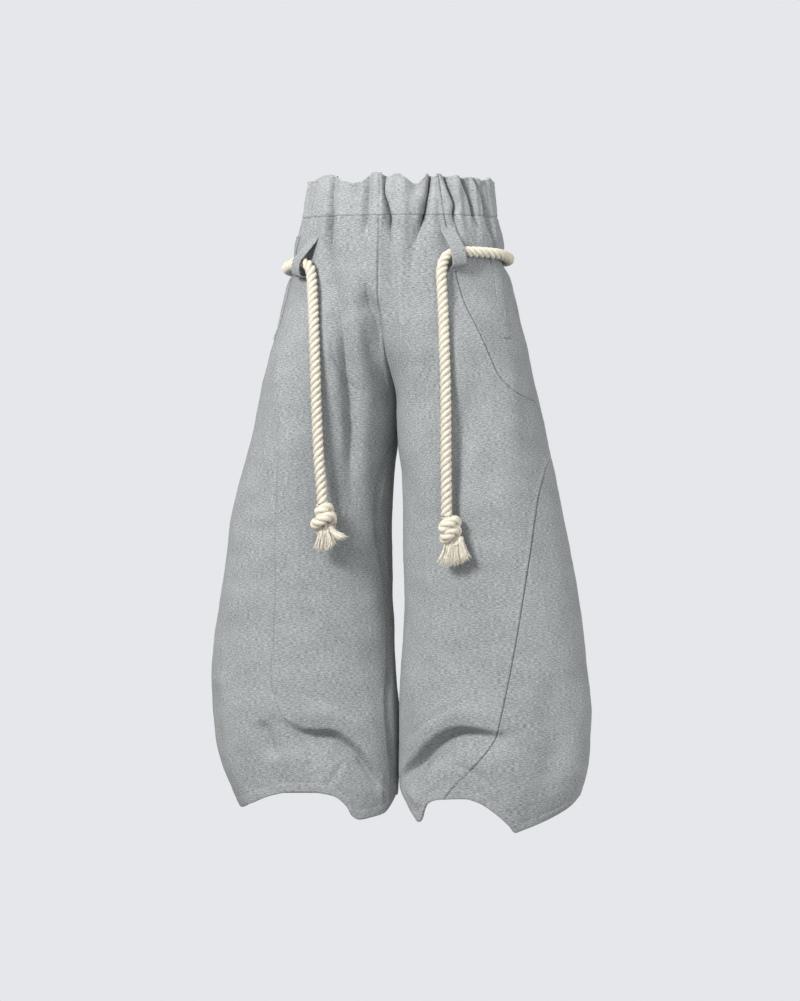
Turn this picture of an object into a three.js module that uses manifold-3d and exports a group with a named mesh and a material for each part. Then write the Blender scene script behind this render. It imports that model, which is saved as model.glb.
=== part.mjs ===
// Wide leg pants in sweatshirt fleece, worn open and hollow, with a twisted rope for a belt.
// Millimetres, +Z up. The front faces -Y and the wearer's left is +X.
// The origin is the middle of the waistband, where the wearer holds the pants up.
import * as THREE from 'three';
import { mergeVertices } from 'three/addons/utils/BufferGeometryUtils.js';
import Module from 'manifold-3d';

const wasm = await Module();
wasm.setup();

// Driving dimensions
const fleece = 2.2; // thickness of the cloth
const casing = 3.4; // thickness of the waistband, cloth round an elastic
const hemFold = 3.2; // thickness of the turned hem
const hemDepth = 15;
const seamGap = 0.3; // space left between sewn pieces
const sewnLift = 0.9; // from the cloth to what is sewn on it
const bandFoot = -31; // lower edge of the waistband
const hips = { top: -75, foot: -120 }; // above them one ring goes round the whole waist
const crotch = -310; // height where the legs part
const middleReach = 30; // how near the middle plane the folds stop moving the cloth sideways
const ropeRadius = 8.5;
const ropeSides = 8;
const strap = 2; // thickness of a belt loop
const loopWidth = 22;
const ropeLie = 10; // from the cloth to the middle of the rope
const loopGirth = 11.2; // inner radius of a belt loop, round the slanting rope
const welt = { width: 17, top: -58, foot: -218, lift: 1.2, thickness: 1.1 }; // top and foot of its middle
const head = { radius: 7.5, height: 5 }; // the bound top of a tassel
const strandSide = 1.3;
const strandsPerTassel = 42;

// How finely the cloth is divided round the body
const bandColumns = 92;
const frontColumns = 13;
const backColumns = 20;

const degree = Math.PI / 180;

function table(columns, rows) {
  return rows.map((row) => Object.fromEntries(columns.map((name, i) => [name, row[i]])));
}

// A level section of each leg: how far the outer and the inner side stand from the middle
// of the body, and how far the front and the back do. Above the crotch the inner side lies
// beyond the middle, and the rise cuts both legs off there.
const sections = table(
  ['height', 'outerLeft', 'innerLeft', 'outerRight', 'innerRight', 'front', 'back'],
  [
    [40, 143, -143, 142, -142, 104, 106],
    [0, 147, -147, 147, -147, 107, 109],
    [-31, 152, -152, 152, -152, 110, 112],
    [-68, 162, -161, 162, -161, 114, 119],
    [-122, 172, -151, 173, -151, 118, 127],
    [-160, 180, -118, 182, -118, 120, 131],
    [-200, 189, -64, 192, -64, 121, 131],
    [-233, 198, -32, 202, -32, 121, 131],
    [-262, 205, -13, 209, -13, 120, 129],
    [-285, 211, -4, 216, -4, 119, 127],
    [-310, 217, 0.2, 222, 0.2, 117, 125],
    [-340, 224, 1, 229, 3, 115, 121],
    [-381, 233, 2, 239, 8, 114, 116],
    [-430, 244, 8, 252, 14, 112, 112],
    [-500, 260, 11, 270, 17, 108, 108],
    [-602, 280, 11, 285, 17, 101, 102],
    [-676, 290, 8, 296, 12, 96, 98],
    [-750, 299, 2, 303, 7, 91, 94],
    [-790, 303, 1, 302, 3, 90, 92],
    [-830, 302, 1, 298, 3, 88, 90],
    [-870, 298, 1, 288, 3, 85, 87],
    [-900, 290, 2, 276, 4, 82, 84],
    [-925, 279, 5, 264, 7, 79, 81],
    [-970, 250, 14, 236, 16, 74, 76],
  ],
);

// Where the curved barrel seam of each leg runs, as degrees from the front to the outside.
const barrelSeams = table(
  ['height', 'left', 'right'],
  [
    [40, 37, 51],
    [-31, 39.5, 53],
    [-100, 41, 54],
    [-160, 41, 52],
    [-216, 43.5, 45],
    [-250, 45.5, 39],
    [-274, 48, 35],
    [-290, 53, 32],
    [-304, 63, 29],
    [-315, 86, 26],
    [-335, 103, 22],
    [-384, 101, 17.5],
    [-418, 77, 14.5],
    [-480, 56, 11],
    [-556, 42, 9],
    [-616, 33, 7.5],
    [-680, 25.5, 8],
    [-735, 19.5, 9],
    [-785, 14, 5],
    [-816, 11, -3.5],
    [-850, 3.5, -8.5],
    [-880, -7, -10],
    [-920, -21, -9],
    [-970, -27, -9],
  ],
);

// Lower edge of each leg round its hem, from the inside over the front to the outside and back.
const hems = {
  left: table(
    ['angle', 'height'],
    [
      [-90, -902],
      [-80, -908],
      [-68, -922],
      [-54, -943],
      [-46, -955],
      [-43, -952],
      [-35, -926],
      [-26, -920],
      [-7, -918],
      [3, -924],
      [14, -938],
      [28, -958],
      [36, -969],
      [40, -966],
      [67, -943],
      [80, -928],
      [92, -916],
      [130, -914],
      [180, -918],
      [230, -914],
      [270, -902],
    ],
  ),
  right: table(
    ['angle', 'height'],
    [
      [-90, -917],
      [-70, -944],
      [-55, -950],
      [-44, -953],
      [-38, -948],
      [-32, -930],
      [-23, -916],
      [-8, -911],
      [4, -911],
      [21, -917],
      [43, -930],
      [62, -937],
      [86, -938],
      [110, -926],
      [150, -920],
      [190, -920],
      [230, -918],
      [270, -917],
    ],
  ),
};

// Upper edge of the waistband, ruffled by its elastic.
const bandTops = table(
  ['angle', 'height'],
  [
    [-180, 27],
    [-150, 31],
    [-120, 26],
    [-95, 29],
    [-72, 23],
    [-54, 27],
    [-41, 34],
    [-33, 29],
    [-24, 18],
    [-15, 10],
    [-10, 20],
    [-6, 35],
    [0, 34],
    [4, 27],
    [10, 33],
    [15, 28],
    [22, 8],
    [27, 22],
    [30, 32],
    [33, 27],
    [38, 33],
    [44, 28],
    [50, 30],
    [57, 27],
    [66, 28],
    [75, 24],
    [90, 29],
    [110, 25],
    [135, 30],
    [160, 25],
    [180, 27],
  ],
);

// Belt loops: where each stands round the waist, and the heights of the rope at its two edges.
const beltLoops = table(
  ['name', 'angle', 'ropeBefore', 'ropeAfter'],
  [
    ['belt_loop_left', 41.2, -91, -88],
    ['belt_loop_right', -44.5, -101, -103],
    ['belt_loop_back', 180, -85, -85],
  ],
);

// Section of a belt loop: from the cloth above the rope straight out over it, down its front
// and back to the cloth below.
const loopProfile = table(
  ['height', 'out'],
  [
    [40, 0],
    [34, 1],
    ...[44, 20, -5].map((turn) => [
      loopGirth * Math.sin(turn * degree),
      ropeLie + loopGirth * Math.cos(turn * degree),
    ]),
    [-10, 20],
    [-17, 17],
    [-20, 10],
    [-19.5, 3],
    [-22, 0],
    [-27, 0],
  ],
);

// Where the middle of a pocket welt runs down the side.
const weltLine = table(
  ['height', 'angle'],
  [
    [-58, 69],
    [-105, 74],
    [-150, 71.5],
    [-218, 66.5],
  ],
);

// The rope, in three stretches that meet inside the front loops: once round the waist over the
// back, and a free end down either thigh.
const ropeRoutes = {
  rope_waist: [
    [114.5, -96.5, -90], [121, -92.3, -87.8], [139, -75, -87.5], [154, -58, -88], [167.5, -37.5, -89.5],
    [170.5, -10.5, -91.5], [168.5, 17.5, -94], [158.5, 47.5, -96], [139, 75, -96], [112, 98.5, -93],
    [80.5, 116, -89], [42, 127.5, -86], [0, 132, -85], [-42, 127, -88], [-80, 115, -93],
    [-113, 98.5, -99], [-140, 75, -105], [-160.5, 48, -109], [-171.5, 18, -111], [-173.5, -10.5, -110],
    [-170, -38, -107], [-158.5, -58.5, -103.5], [-142.5, -77.5, -101], [-132.5, -86.9, -101],
    [-126.5, -91.5, -102],
  ],
  rope_end_left: [
    [114.5, -96.5, -90], [108, -100.7, -92.2], [101.5, -105.5, -102], [99, -109.5, -117],
    [100.5, -113, -138], [103, -116, -162], [106, -121, -197], [109, -127, -236], [111, -129, -275],
    [112, -130, -315], [112, -129, -355], [112, -129, -390], [112, -128, -425], [112, -127, -458],
    [112, -126, -488],
  ],
  rope_end_right: [
    [-126.5, -91.5, -102], [-120.5, -96.1, -103], [-112.5, -101, -111], [-108.5, -105.5, -125],
    [-105.5, -111, -143], [-101.5, -119, -173], [-98, -126.5, -203], [-95.8, -130, -236],
    [-94.5, -130.5, -274], [-93.5, -129.5, -315], [-92, -128, -358], [-90.5, -127.5, -390],
    [-88.5, -127, -420], [-86, -126, -449], [-84.5, -126, -470],
  ],
};

// Overhand knots at the free ends, with the frayed tassel below each.
const ropeTips = table(
  ['side', 'x', 'y', 'z', 'width', 'height', 'tilt', 'flare', 'drift', 'length'],
  [
    ['left', 118, -126, -512.2, 36, 49, -14, 2.9, 0, 33],
    ['right', -83.2, -126, -491.6, 37, 43, -8, 2.4, 6, 34],
  ],
);

// Creases and ridges. A path starts at its first angle and height and fades at its end, and at
// its start too unless it begins in the waistband. A negative lift is a trough.
const folds = table(
  ['side', 'lift', 'width', 'fromBand', 'path'],
  [
    // pleats drawn up by the elastic, front
    [1, -10, 6, true, [[3, 40], [2, 6], [5, -31], [7, -80]]],
    [1, -10, 6, true, [[32, 40], [30, -5], [27, -31], [21, -70], [12, -140]]],
    [1, -8, 6, true, [[41, 40], [46, 0], [47, -31], [49, -70]]],
    [1, -7, 6, true, [[52, 40], [61, -8], [64, -31], [66, -62]]],
    [1, -5, 8, true, [[64, 40], [74, -14], [78, -40], [80, -100]]],
    [1, -6, 7, true, [[21, 40], [21, 14], [21, -10]]],
    [-1, -8, 8, true, [[36, 40], [35, -10], [33, -52], [28, -98], [18, -165]]],
    [-1, -5, 7, true, [[8, 40], [7, -16], [8, -70]]],
    [-1, -6, 7, true, [[53, 40], [55, -10], [58, -80]]],
    [-1, -5, 8, true, [[17, 40], [16, 12], [16, -12]]],
    [1, 4, 10, true, [[13, 40], [13, -48], [8, -110], [-2, -180], [-16, -250], [-36, -320], [-54, -390]]],
    [-1, 4, 12, true, [[22, 40], [22, -31], [20, -130]]],
    // pleats at the sides and the back
    [1, -7, 8, true, [[104, 40], [103, -31], [101, -120]]],
    [1, -6, 8, true, [[127, 40], [128, -31], [130, -95]]],
    [1, -8, 8, true, [[150, 40], [151, -31], [153, -140]]],
    [1, -6, 8, true, [[170, 40], [169, -31], [168, -90]]],
    [-1, -6, 8, true, [[83, 40], [85, -31], [87, -100]]],
    [-1, -7, 8, true, [[108, 40], [107, -31], [104, -130]]],
    [-1, -6, 8, true, [[131, 40], [132, -31], [133, -90]]],
    [-1, -8, 8, true, [[155, 40], [154, -31], [153, -130]]],
    // the waist drawn in by the rope
    [1, -8, 15, false, [[42, -84], [85, -95], [112, -101], [140, -97], [180, -85]]],
    [-1, -8, 15, false, [[50, -97], [85, -111], [112, -109], [140, -99], [180, -85]]],
    // hollows beside the front rise
    [1, -5, 16, false, [[28, -150], [6, -230], [-20, -300], [-36, -340]]],
    [-1, -8, 13, false, [[2, -120], [-7, -165], [-18, -205], [-34, -245], [-52, -285]]],
    // long slack folds in the thighs
    [-1, -8, 13, false, [[30, -90], [20, -160], [0, -240], [-20, -310], [-36, -370], [-60, -520]]],
    [-1, 5, 20, false, [[46, -200], [22, -330], [2, -450], [-12, -560]]],
    [1, -6, 20, false, [[38, -240], [14, -350], [-10, -460], [-38, -560]]],
    [1, 4, 22, false, [[60, -240], [44, -400], [30, -560]]],
    [1, -5, 12, false, [[64, -520], [62, -600], [58, -700]]],
    // break above the left hem
    [1, -14, 11, false, [[-68, -888], [-50, -869], [-35, -848], [-20, -826], [12, -823], [30, -800]]],
    [1, 8, 11, false, [[-62, -850], [-44, -834], [-30, -812], [-14, -795], [4, -790], [24, -786]]],
    [1, -6, 9, false, [[-40, -858], [-45, -886], [-53, -906]]],
    [1, -7, 17, false, [[42, -740], [46, -812], [46, -850], [38, -890]]],
    // break above the right hem
    [-1, -12, 11, false, [[14, -794], [2, -806], [-14, -824], [-28, -826], [-40, -847], [-64, -905]]],
    [-1, 7, 11, false, [[4, -776], [-14, -794], [-32, -798], [-46, -820], [-58, -850]]],
    [-1, -7, 12, false, [[18, -800], [14, -830], [12, -866]]],
    [-1, -5, 18, false, [[60, -740], [62, -800], [56, -860]]],
    // the same slack on the back of the legs
    [1, -9, 15, false, [[240, -350], [205, -390], [168, -400], [140, -370]]],
    [-1, -9, 15, false, [[240, -360], [208, -396], [170, -402], [138, -380]]],
    [1, -7, 20, false, [[232, -460], [210, -540], [196, -640]]],
    [-1, -7, 20, false, [[228, -450], [206, -540], [190, -650]]],
    [1, -10, 13, false, [[246, -846], [220, -822], [190, -818], [160, -830], [140, -812]]],
    [-1, -10, 13, false, [[244, -850], [216, -824], [186, -822], [156, -836], [134, -816]]],
    [1, -7, 16, false, [[120, -760], [116, -830], [122, -890]]],
    [-1, -7, 16, false, [[118, -750], [114, -830], [120, -884]]],
  ],
);

// Smooth curve through a column of a table whose key falls or rises from row to row.
function read(rows, key, column, at) {
  const rising = rows[1][key] > rows[0][key];
  const ordered = rising ? rows : [...rows].reverse();
  const last = ordered.length - 1;
  if (at <= ordered[0][key]) return ordered[0][column];
  if (at >= ordered[last][key]) return ordered[last][column];
  const i = ordered.findIndex((row) => row[key] > at) - 1;
  const slope = (k) => {
    if (k < 0 || k >= last) return null;
    return (ordered[k + 1][column] - ordered[k][column]) / (ordered[k + 1][key] - ordered[k][key]);
  };
  const tangent = (k) => {
    const before = slope(k - 1);
    const after = slope(k);
    if (before === null) return after;
    if (after === null) return before;
    return before * after <= 0 ? 0 : (2 * before * after) / (before + after);
  };
  const span = ordered[i + 1][key] - ordered[i][key];
  const t = (at - ordered[i][key]) / span;
  const step = t * t * (3 - 2 * t);
  const bend = t * (1 - t) * span * (tangent(i) * (1 - t) - tangent(i + 1) * t);
  return ordered[i][column] + (ordered[i + 1][column] - ordered[i][column]) * step + bend;
}

function ease(from, to, at) {
  const t = Math.min(1, Math.max(0, (at - from) / (to - from)));
  return t * t * (3 - 2 * t);
}

const sectionCache = new Map();

function section(side, height) {
  const key = side * 1e6 + Math.round(height * 100);
  if (!sectionCache.has(key)) {
    const name = side > 0 ? 'Left' : 'Right';
    const outer = read(sections, 'height', 'outer' + name, height);
    const inner = read(sections, 'height', 'inner' + name, height);
    const centre = ((outer + inner) / 2) * ease(hips.top, hips.foot, height);
    const radius = outer - centre;
    const front = read(sections, 'height', 'front', height);
    const back = read(sections, 'height', 'back', height);
    const start = -Math.asin(Math.min(1, centre / radius)) / degree;
    sectionCache.set(key, { centre, radius, front, back, start });
  }
  return sectionCache.get(key);
}

// Distance round the leg from its front. Over the middle plane it runs on round the same leg.
function girth(angle, height, side, ownSide) {
  const s = section(side, height);
  const middle = angle < 90 ? s.start : 180 - s.start;
  const turn = ownSide ? angle : 2 * middle - angle;
  const depth = s.front + (s.back - s.front) * ease(60, 120, angle);
  return (turn * degree * (s.radius + depth)) / 2;
}

const foldLines = folds.map((fold) => {
  const line = fold.path.map(([a, z]) => new THREE.Vector2(girth(a, z, fold.side, true), z));
  return { ...fold, curve: new THREE.SplineCurve(line).getPoints(line.length * 4) };
});

// How far the folds push the cloth out or in. The lower rise and the inseam stay put.
function foldLift(side, angle, height) {
  const s = section(side, height);
  const fromSeam = Math.min(angle - s.start, 180 - s.start - angle) * degree * s.radius;
  const held = ease(crotch + 110, crotch + 50, height);
  const hold = 1 - held + held * ease(0, 26, fromSeam);
  let lift = 0;
  for (const fold of foldLines) {
    const ownSide = fold.side === side;
    if (!ownSide && height < crotch) continue;
    const at = new THREE.Vector2(girth(angle, height, side, ownSide), height);
    const reach = 3 * fold.width;
    let near = reach;
    let along = 0;
    for (let i = 0; i < fold.curve.length - 1; i++) {
      const a = fold.curve[i];
      const run = fold.curve[i + 1].clone().sub(a);
      const t = Math.min(1, Math.max(0, at.clone().sub(a).dot(run) / run.lengthSq()));
      const gap = at.distanceTo(a.clone().addScaledVector(run, t));
      if (gap < near) {
        near = gap;
        along = (i + t) / (fold.curve.length - 1);
      }
    }
    if (near >= reach) continue;
    const fadeIn = fold.fromBand ? 1 : ease(0, 0.3, along);
    lift += fold.lift * Math.exp(-((near / fold.width) ** 2)) * fadeIn * ease(1, 0.6, along);
  }
  return lift * hold;
}

// Small gathers all round the waist, which run out below the band.
function gather(side, angle, height) {
  const start = section(side, height).start;
  const round = side * 180 * ((angle - start) / (180 - 2 * start)) * degree;
  const wave = Math.sin(24 * round + 1.5 * Math.sin(3 * round + 0.8));
  return 1.8 * wave * ease(-135, -25, height);
}

// A point of the outer face of the cloth: the level section, pushed out by folds and gathers.
// Close to the middle plane it moves only forwards or backwards, so both halves meet there.
function clothPoint(side, angle, height) {
  const s = section(side, height);
  const turn = angle * degree;
  const depth = Math.cos(turn) > 0 ? s.front : s.back;
  const x = s.centre + s.radius * Math.sin(turn);
  const y = -depth * Math.cos(turn);
  const out = new THREE.Vector2(depth * Math.sin(turn), -s.radius * Math.cos(turn)).normalize();
  const lift = foldLift(side, angle, height) + gather(side, angle, height);
  const beside = ease(0, middleReach, x);
  const free = height < crotch ? 0.4 + 0.6 * beside : beside;
  return new THREE.Vector3(side * (x + out.x * lift * free), y + out.y * lift, height);
}

// The direction out of the cloth at a point, kept level at the waistband.
function clothNormal(side, angle, height) {
  const across = clothPoint(side, angle + 0.6, height).sub(clothPoint(side, angle - 0.6, height));
  const up = clothPoint(side, angle, height + 2).sub(clothPoint(side, angle, height - 2));
  const normal = across.cross(up).multiplyScalar(side).normalize();
  normal.z *= ease(bandFoot, bandFoot - 40, height);
  return normal.normalize();
}

// A point of the wall at a depth below its outer face.
function beneath(side, angle, height, depth) {
  const point = clothPoint(side, angle, height);
  return point.addScaledVector(clothNormal(side, angle, height), -depth);
}

// Degrees that turn the leg by a length along its surface.
function degreesFor(length, side, angle, height) {
  const s = section(side, height);
  const turn = angle * degree;
  const depth = Math.cos(turn) > 0 ? s.front : s.back;
  return length / degree / Math.hypot(s.radius * Math.cos(turn), depth * Math.sin(turn));
}

// Closed geometry from two matching grids of points: the outer and the inner face of a wall.
function shell(outer, inner, closedRound) {
  const rows = outer.length;
  const columns = outer[0].length;
  const points = [...outer.flat(), ...inner.flat()];
  const top = (r, c) => r * columns + (c % columns);
  const under = (r, c) => rows * columns + top(r, c);
  const faces = [];
  const quad = (a, b, c, d) => faces.push(a, b, c, a, c, d);
  const lastRow = rows - 1;
  const lastColumn = closedRound ? columns : columns - 1;
  for (let r = 0; r < lastRow; r++) {
    for (let c = 0; c < lastColumn; c++) {
      quad(top(r, c), top(r, c + 1), top(r + 1, c + 1), top(r + 1, c));
      quad(under(r, c), under(r + 1, c), under(r + 1, c + 1), under(r, c + 1));
    }
    if (!closedRound) {
      quad(top(r, 0), top(r + 1, 0), under(r + 1, 0), under(r, 0));
      quad(top(r + 1, lastColumn), top(r, lastColumn), under(r, lastColumn), under(r + 1, lastColumn));
    }
  }
  for (let c = 0; c < lastColumn; c++) {
    quad(top(0, c + 1), top(0, c), under(0, c), under(0, c + 1));
    quad(top(lastRow, c), top(lastRow, c + 1), under(lastRow, c + 1), under(lastRow, c));
  }
  const geometry = new THREE.BufferGeometry().setFromPoints(points);
  geometry.setIndex(facingOut(points, faces));
  geometry.computeVertexNormals();
  return geometry;
}

// The faces turned round where they enclose a negative volume.
function facingOut(points, faces) {
  let volume = 0;
  for (let i = 0; i < faces.length; i += 3) {
    const [a, b, c] = [points[faces[i]], points[faces[i + 1]], points[faces[i + 2]]];
    volume += a.dot(b.clone().cross(c));
  }
  return volume < 0 ? faces.reverse() : faces;
}

const pants = new THREE.Group();
const fleeceGrey = new THREE.MeshStandardMaterial({ color: 0xc3c5c9, roughness: 0.95, metalness: 0 });
const bandGrey = new THREE.MeshStandardMaterial({ color: 0xbcbec3, roughness: 0.95, metalness: 0 });
const cottonRope = new THREE.MeshStandardMaterial({ color: 0xd8cfc0, roughness: 0.9, metalness: 0 });

function addPiece(name, geometry, material) {
  const mesh = new THREE.Mesh(geometry, material);
  mesh.name = name;
  pants.add(mesh);
  return mesh;
}

// A signed angle round the body, from the front over the wearer's left side, as side and angle.
function sideAndAngle(round) {
  const turned = round > 180 ? round - 360 : round;
  return [turned < 0 ? -1 : 1, Math.abs(turned)];
}

// Waistband: one ring of cloth round an elastic, with a ruffled upper edge.
function waistband() {
  const levels = [1, 0.75, 0.35, 0];
  const rounding = 0.5; // how far the folded upper edge draws in
  const outer = [];
  const inner = [];
  for (const level of levels) {
    const outerRow = [];
    const innerRow = [];
    for (let c = 0; c < bandColumns; c++) {
      const round = -180 + (360 * (c + 0.5)) / bandColumns;
      const [side, angle] = sideAndAngle(round);
      const top = read(bandTops, 'angle', 'height', round);
      const height = bandFoot + seamGap + (top - bandFoot) * level;
      outerRow.push(beneath(side, angle, height, level === 1 ? rounding : 0));
      innerRow.push(beneath(side, angle, height, level === 1 ? casing - rounding : casing));
    }
    outer.push(outerRow);
    inner.push(innerRow);
  }
  return shell(outer, inner, true);
}

// Heights of the rows of a panel, closer at the waist, the crotch and the break over the hem.
const panelRows = [
  -31, -50, -68, -83, -95, -107, -120, -145, -176, -206, -234, -258, -278, -292, -302, -310,
  -320, -338, -366, -404, -452, -508, -566, -624, -682, -736, -770, -792, -808, -820, -831, -842,
  -854, -868, -884, -900, -915, -930,
];

// The outer points of the panels, for what lies on them: the front of a side before its back.
const panelGrids = [];

// A panel of one leg between two edges, each given as the angle for a height.
function panel(side, columns, fromAngle, toAngle) {
  const outer = [];
  const inner = [];
  const angles = [];
  const hem = side > 0 ? hems.left : hems.right;
  const foot = panelRows[panelRows.length - 1];
  for (const row of panelRows) {
    const from = fromAngle(row);
    const to = toAngle(row);
    const outerRow = [];
    const innerRow = [];
    angles.push([]);
    for (let c = 0; c <= columns; c++) {
      const angle = from + ((to - from) * c) / columns;
      angles[angles.length - 1].push(angle);
      const drop = (read(hem, 'angle', 'height', angle) - foot) * ease(-780, foot, row);
      const thickness = row < foot + hemDepth + 2 ? hemFold : fleece;
      outerRow.push(beneath(side, angle, row + drop, 0));
      innerRow.push(beneath(side, angle, row + drop, thickness));
    }
    outer.push(outerRow);
    inner.push(innerRow);
  }
  panelGrids.push({ side, angles, points: outer });
  return shell(outer, inner, false);
}

// The edges of the panels: the rise, which becomes the inseam below the crotch, and the barrel seam.
function riseEdge(side, height) {
  const s = section(side, height);
  const reach = Math.min(1, (s.centre - seamGap / 2) / s.radius);
  const start = -Math.asin(reach) / degree;
  return start + (reach === 1 ? degreesFor(seamGap / 2, side, -90, height) : 0);
}

function barrelSeam(side, height) {
  return read(barrelSeams, 'height', side > 0 ? 'left' : 'right', height);
}

// Half the seam gap to one side of the barrel seam, more along the level where the seam slants.
function barrelEdge(side, height, towards) {
  const angle = barrelSeam(side, height);
  const turn = (barrelSeam(side, height + 1) - barrelSeam(side, height - 1)) / 2;
  const slant = Math.hypot(1, turn / degreesFor(1, side, angle, height));
  return angle + towards * degreesFor((seamGap / 2) * slant, side, angle, height);
}

function frontPanel(side) {
  const fromAngle = (height) => riseEdge(side, height);
  return panel(side, frontColumns, fromAngle, (height) => barrelEdge(side, height, -1));
}

function backPanel(side) {
  const toAngle = (height) => 180 - riseEdge(side, height);
  return panel(side, backColumns, (height) => barrelEdge(side, height, 1), toAngle);
}

// A point on the faces of the panel that lies at a place, and above them by a lift.
function onPanel(round, height, lift) {
  const [side, angle] = sideAndAngle(round);
  const fits = panelGrids.filter((grid) => grid.side === side);
  const grid = angle < barrelSeam(side, height) ? fits[0] : fits[1];
  const r = panelRows.findIndex((row) => row < height) - 1;
  const down = (panelRows[r] - height) / (panelRows[r] - panelRows[r + 1]);
  const across = [r, r + 1].map((row) => {
    const angles = grid.angles[row];
    const share = (angle - angles[0]) / (angles[angles.length - 1] - angles[0]);
    return Math.min(1, Math.max(0, share)) * (angles.length - 1);
  });
  const place = across[0] + (across[1] - across[0]) * down;
  const c = Math.min(grid.angles[0].length - 2, Math.floor(place));
  const over = place - c;
  const [a, b] = [grid.points[r][c], grid.points[r][c + 1]];
  const [d, e] = [grid.points[r + 1][c], grid.points[r + 1][c + 1]];
  const corner = over > down ? b : d;
  const [first, second] = over > down ? [over, down] : [down, over];
  const point = a.clone().addScaledVector(corner.clone().sub(a), first);
  point.addScaledVector(e.clone().sub(corner), second);
  return point.addScaledVector(clothNormal(side, angle, height), lift);
}

// A belt loop: a strap sewn down at both ends that stands out over the rope.
function beltLoop(loop) {
  const ropeHeight = (loop.ropeBefore + loop.ropeAfter) / 2;
  const [side, angle] = sideAndAngle(loop.angle);
  const half = degreesFor(loopWidth / 2, side, angle, ropeHeight);
  const outward = clothNormal(side, angle, ropeHeight).setZ(0).normalize();
  const outer = [];
  const inner = [];
  for (let r = 0; r < loopProfile.length; r++) {
    const here = loopProfile[r];
    const before = loopProfile[Math.max(0, r - 1)];
    const after = loopProfile[Math.min(loopProfile.length - 1, r + 1)];
    const along = new THREE.Vector2(after.out - before.out, after.height - before.height).normalize();
    const across = [-1, -0.5, 0, 0.5, 1];
    inner.push(across.map((place) => {
      const rope = ropeHeight + ((loop.ropeAfter - loop.ropeBefore) * place) / 2;
      const onCloth = onPanel(loop.angle + half * place, rope + here.height, sewnLift);
      return onCloth.addScaledVector(outward, here.out);
    }));
    outer.push(inner[r].map((point) => {
      const lifted = point.clone().addScaledVector(outward, -along.y * strap);
      return lifted.setZ(lifted.z + along.x * strap);
    }));
  }
  return shell(outer, inner, false);
}

// A pocket welt: a narrow strip that lies on the side panel along the pocket's mouth.
function pocketWelt(side) {
  const rows = 12;
  const outer = [];
  const inner = [];
  for (let r = 0; r <= rows; r++) {
    const height = welt.top + ((welt.foot - welt.top) * r) / rows;
    const middle = read(weltLine, 'height', 'angle', height);
    const half = degreesFor(welt.width / 2, side, middle, height);
    const angles = [-1, -0.5, 0, 0.5, 1].map((place) => middle + half * place);
    outer.push(angles.map((angle) => onPanel(side * angle, height, welt.lift + welt.thickness)));
    inner.push(angles.map((angle) => onPanel(side * angle, height, welt.lift)));
  }
  return shell(outer, inner, false);
}

// A stretch of rope through its route, shortened at both ends to leave the seam gap.
function rope(route) {
  const points = route.map(([x, y, z]) => new THREE.Vector3(x, y, z));
  const last = points.length - 1;
  const trim = (end, next) => points[next].clone().sub(points[end]).setLength(seamGap / 2);
  const cuts = [trim(0, 1), trim(last, last - 1)];
  points[0].add(cuts[0]);
  points[last].add(cuts[1]);
  const path = new THREE.CatmullRomCurve3(points, false, 'centripetal');
  return along(path, ropeSides, ropeRadius, Math.round(path.getLength() / 20));
}

// A prism with a regular section, along a curve.
function along(extrudePath, sides, radius, steps) {
  const corners = Array.from({ length: sides }, (_, i) => {
    const turn = (2 * Math.PI * i) / sides;
    return new THREE.Vector2(radius * Math.cos(turn), radius * Math.sin(turn));
  });
  return new THREE.ExtrudeGeometry(new THREE.Shape(corners), { steps, bevelEnabled: false, extrudePath });
}

// An overhand knot: a bulb whose ridges wind round it as the rope does.
function knot(tip) {
  const geometry = new THREE.SphereGeometry(0.5, 16, 10).rotateX(Math.PI / 2);
  const position = geometry.getAttribute('position');
  for (let i = 0; i < position.count; i++) {
    const point = new THREE.Vector3().fromBufferAttribute(position, i);
    const turn = Math.atan2(point.y, point.x);
    const ridge = 1 + 0.12 * Math.sin(2 * turn + 6.8 * point.z) * (1 - (2 * point.z) ** 4);
    position.setXYZ(i, point.x * ridge, point.y * ridge, point.z);
  }
  return geometry.scale(tip.width, tip.width, tip.height);
}

// A geometry as a solid that can be joined, and the solid as a geometry again.
function solid(geometry) {
  const bare = new THREE.BufferGeometry().setAttribute('position', geometry.getAttribute('position'));
  if (geometry.index) bare.setIndex(geometry.index);
  const merged = mergeVertices(bare, 1e-4);
  const vertProperties = merged.getAttribute('position').array;
  const triVerts = new Uint32Array(merged.index.array);
  return new wasm.Manifold(new wasm.Mesh({ numProp: 3, vertProperties, triVerts }));
}

function solidGeometry(body) {
  const mesh = body.getMesh();
  const geometry = new THREE.BufferGeometry();
  geometry.setAttribute('position', new THREE.BufferAttribute(new Float32Array(mesh.vertProperties), 3));
  geometry.setIndex([...mesh.triVerts]);
  geometry.computeVertexNormals();
  return geometry;
}

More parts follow.
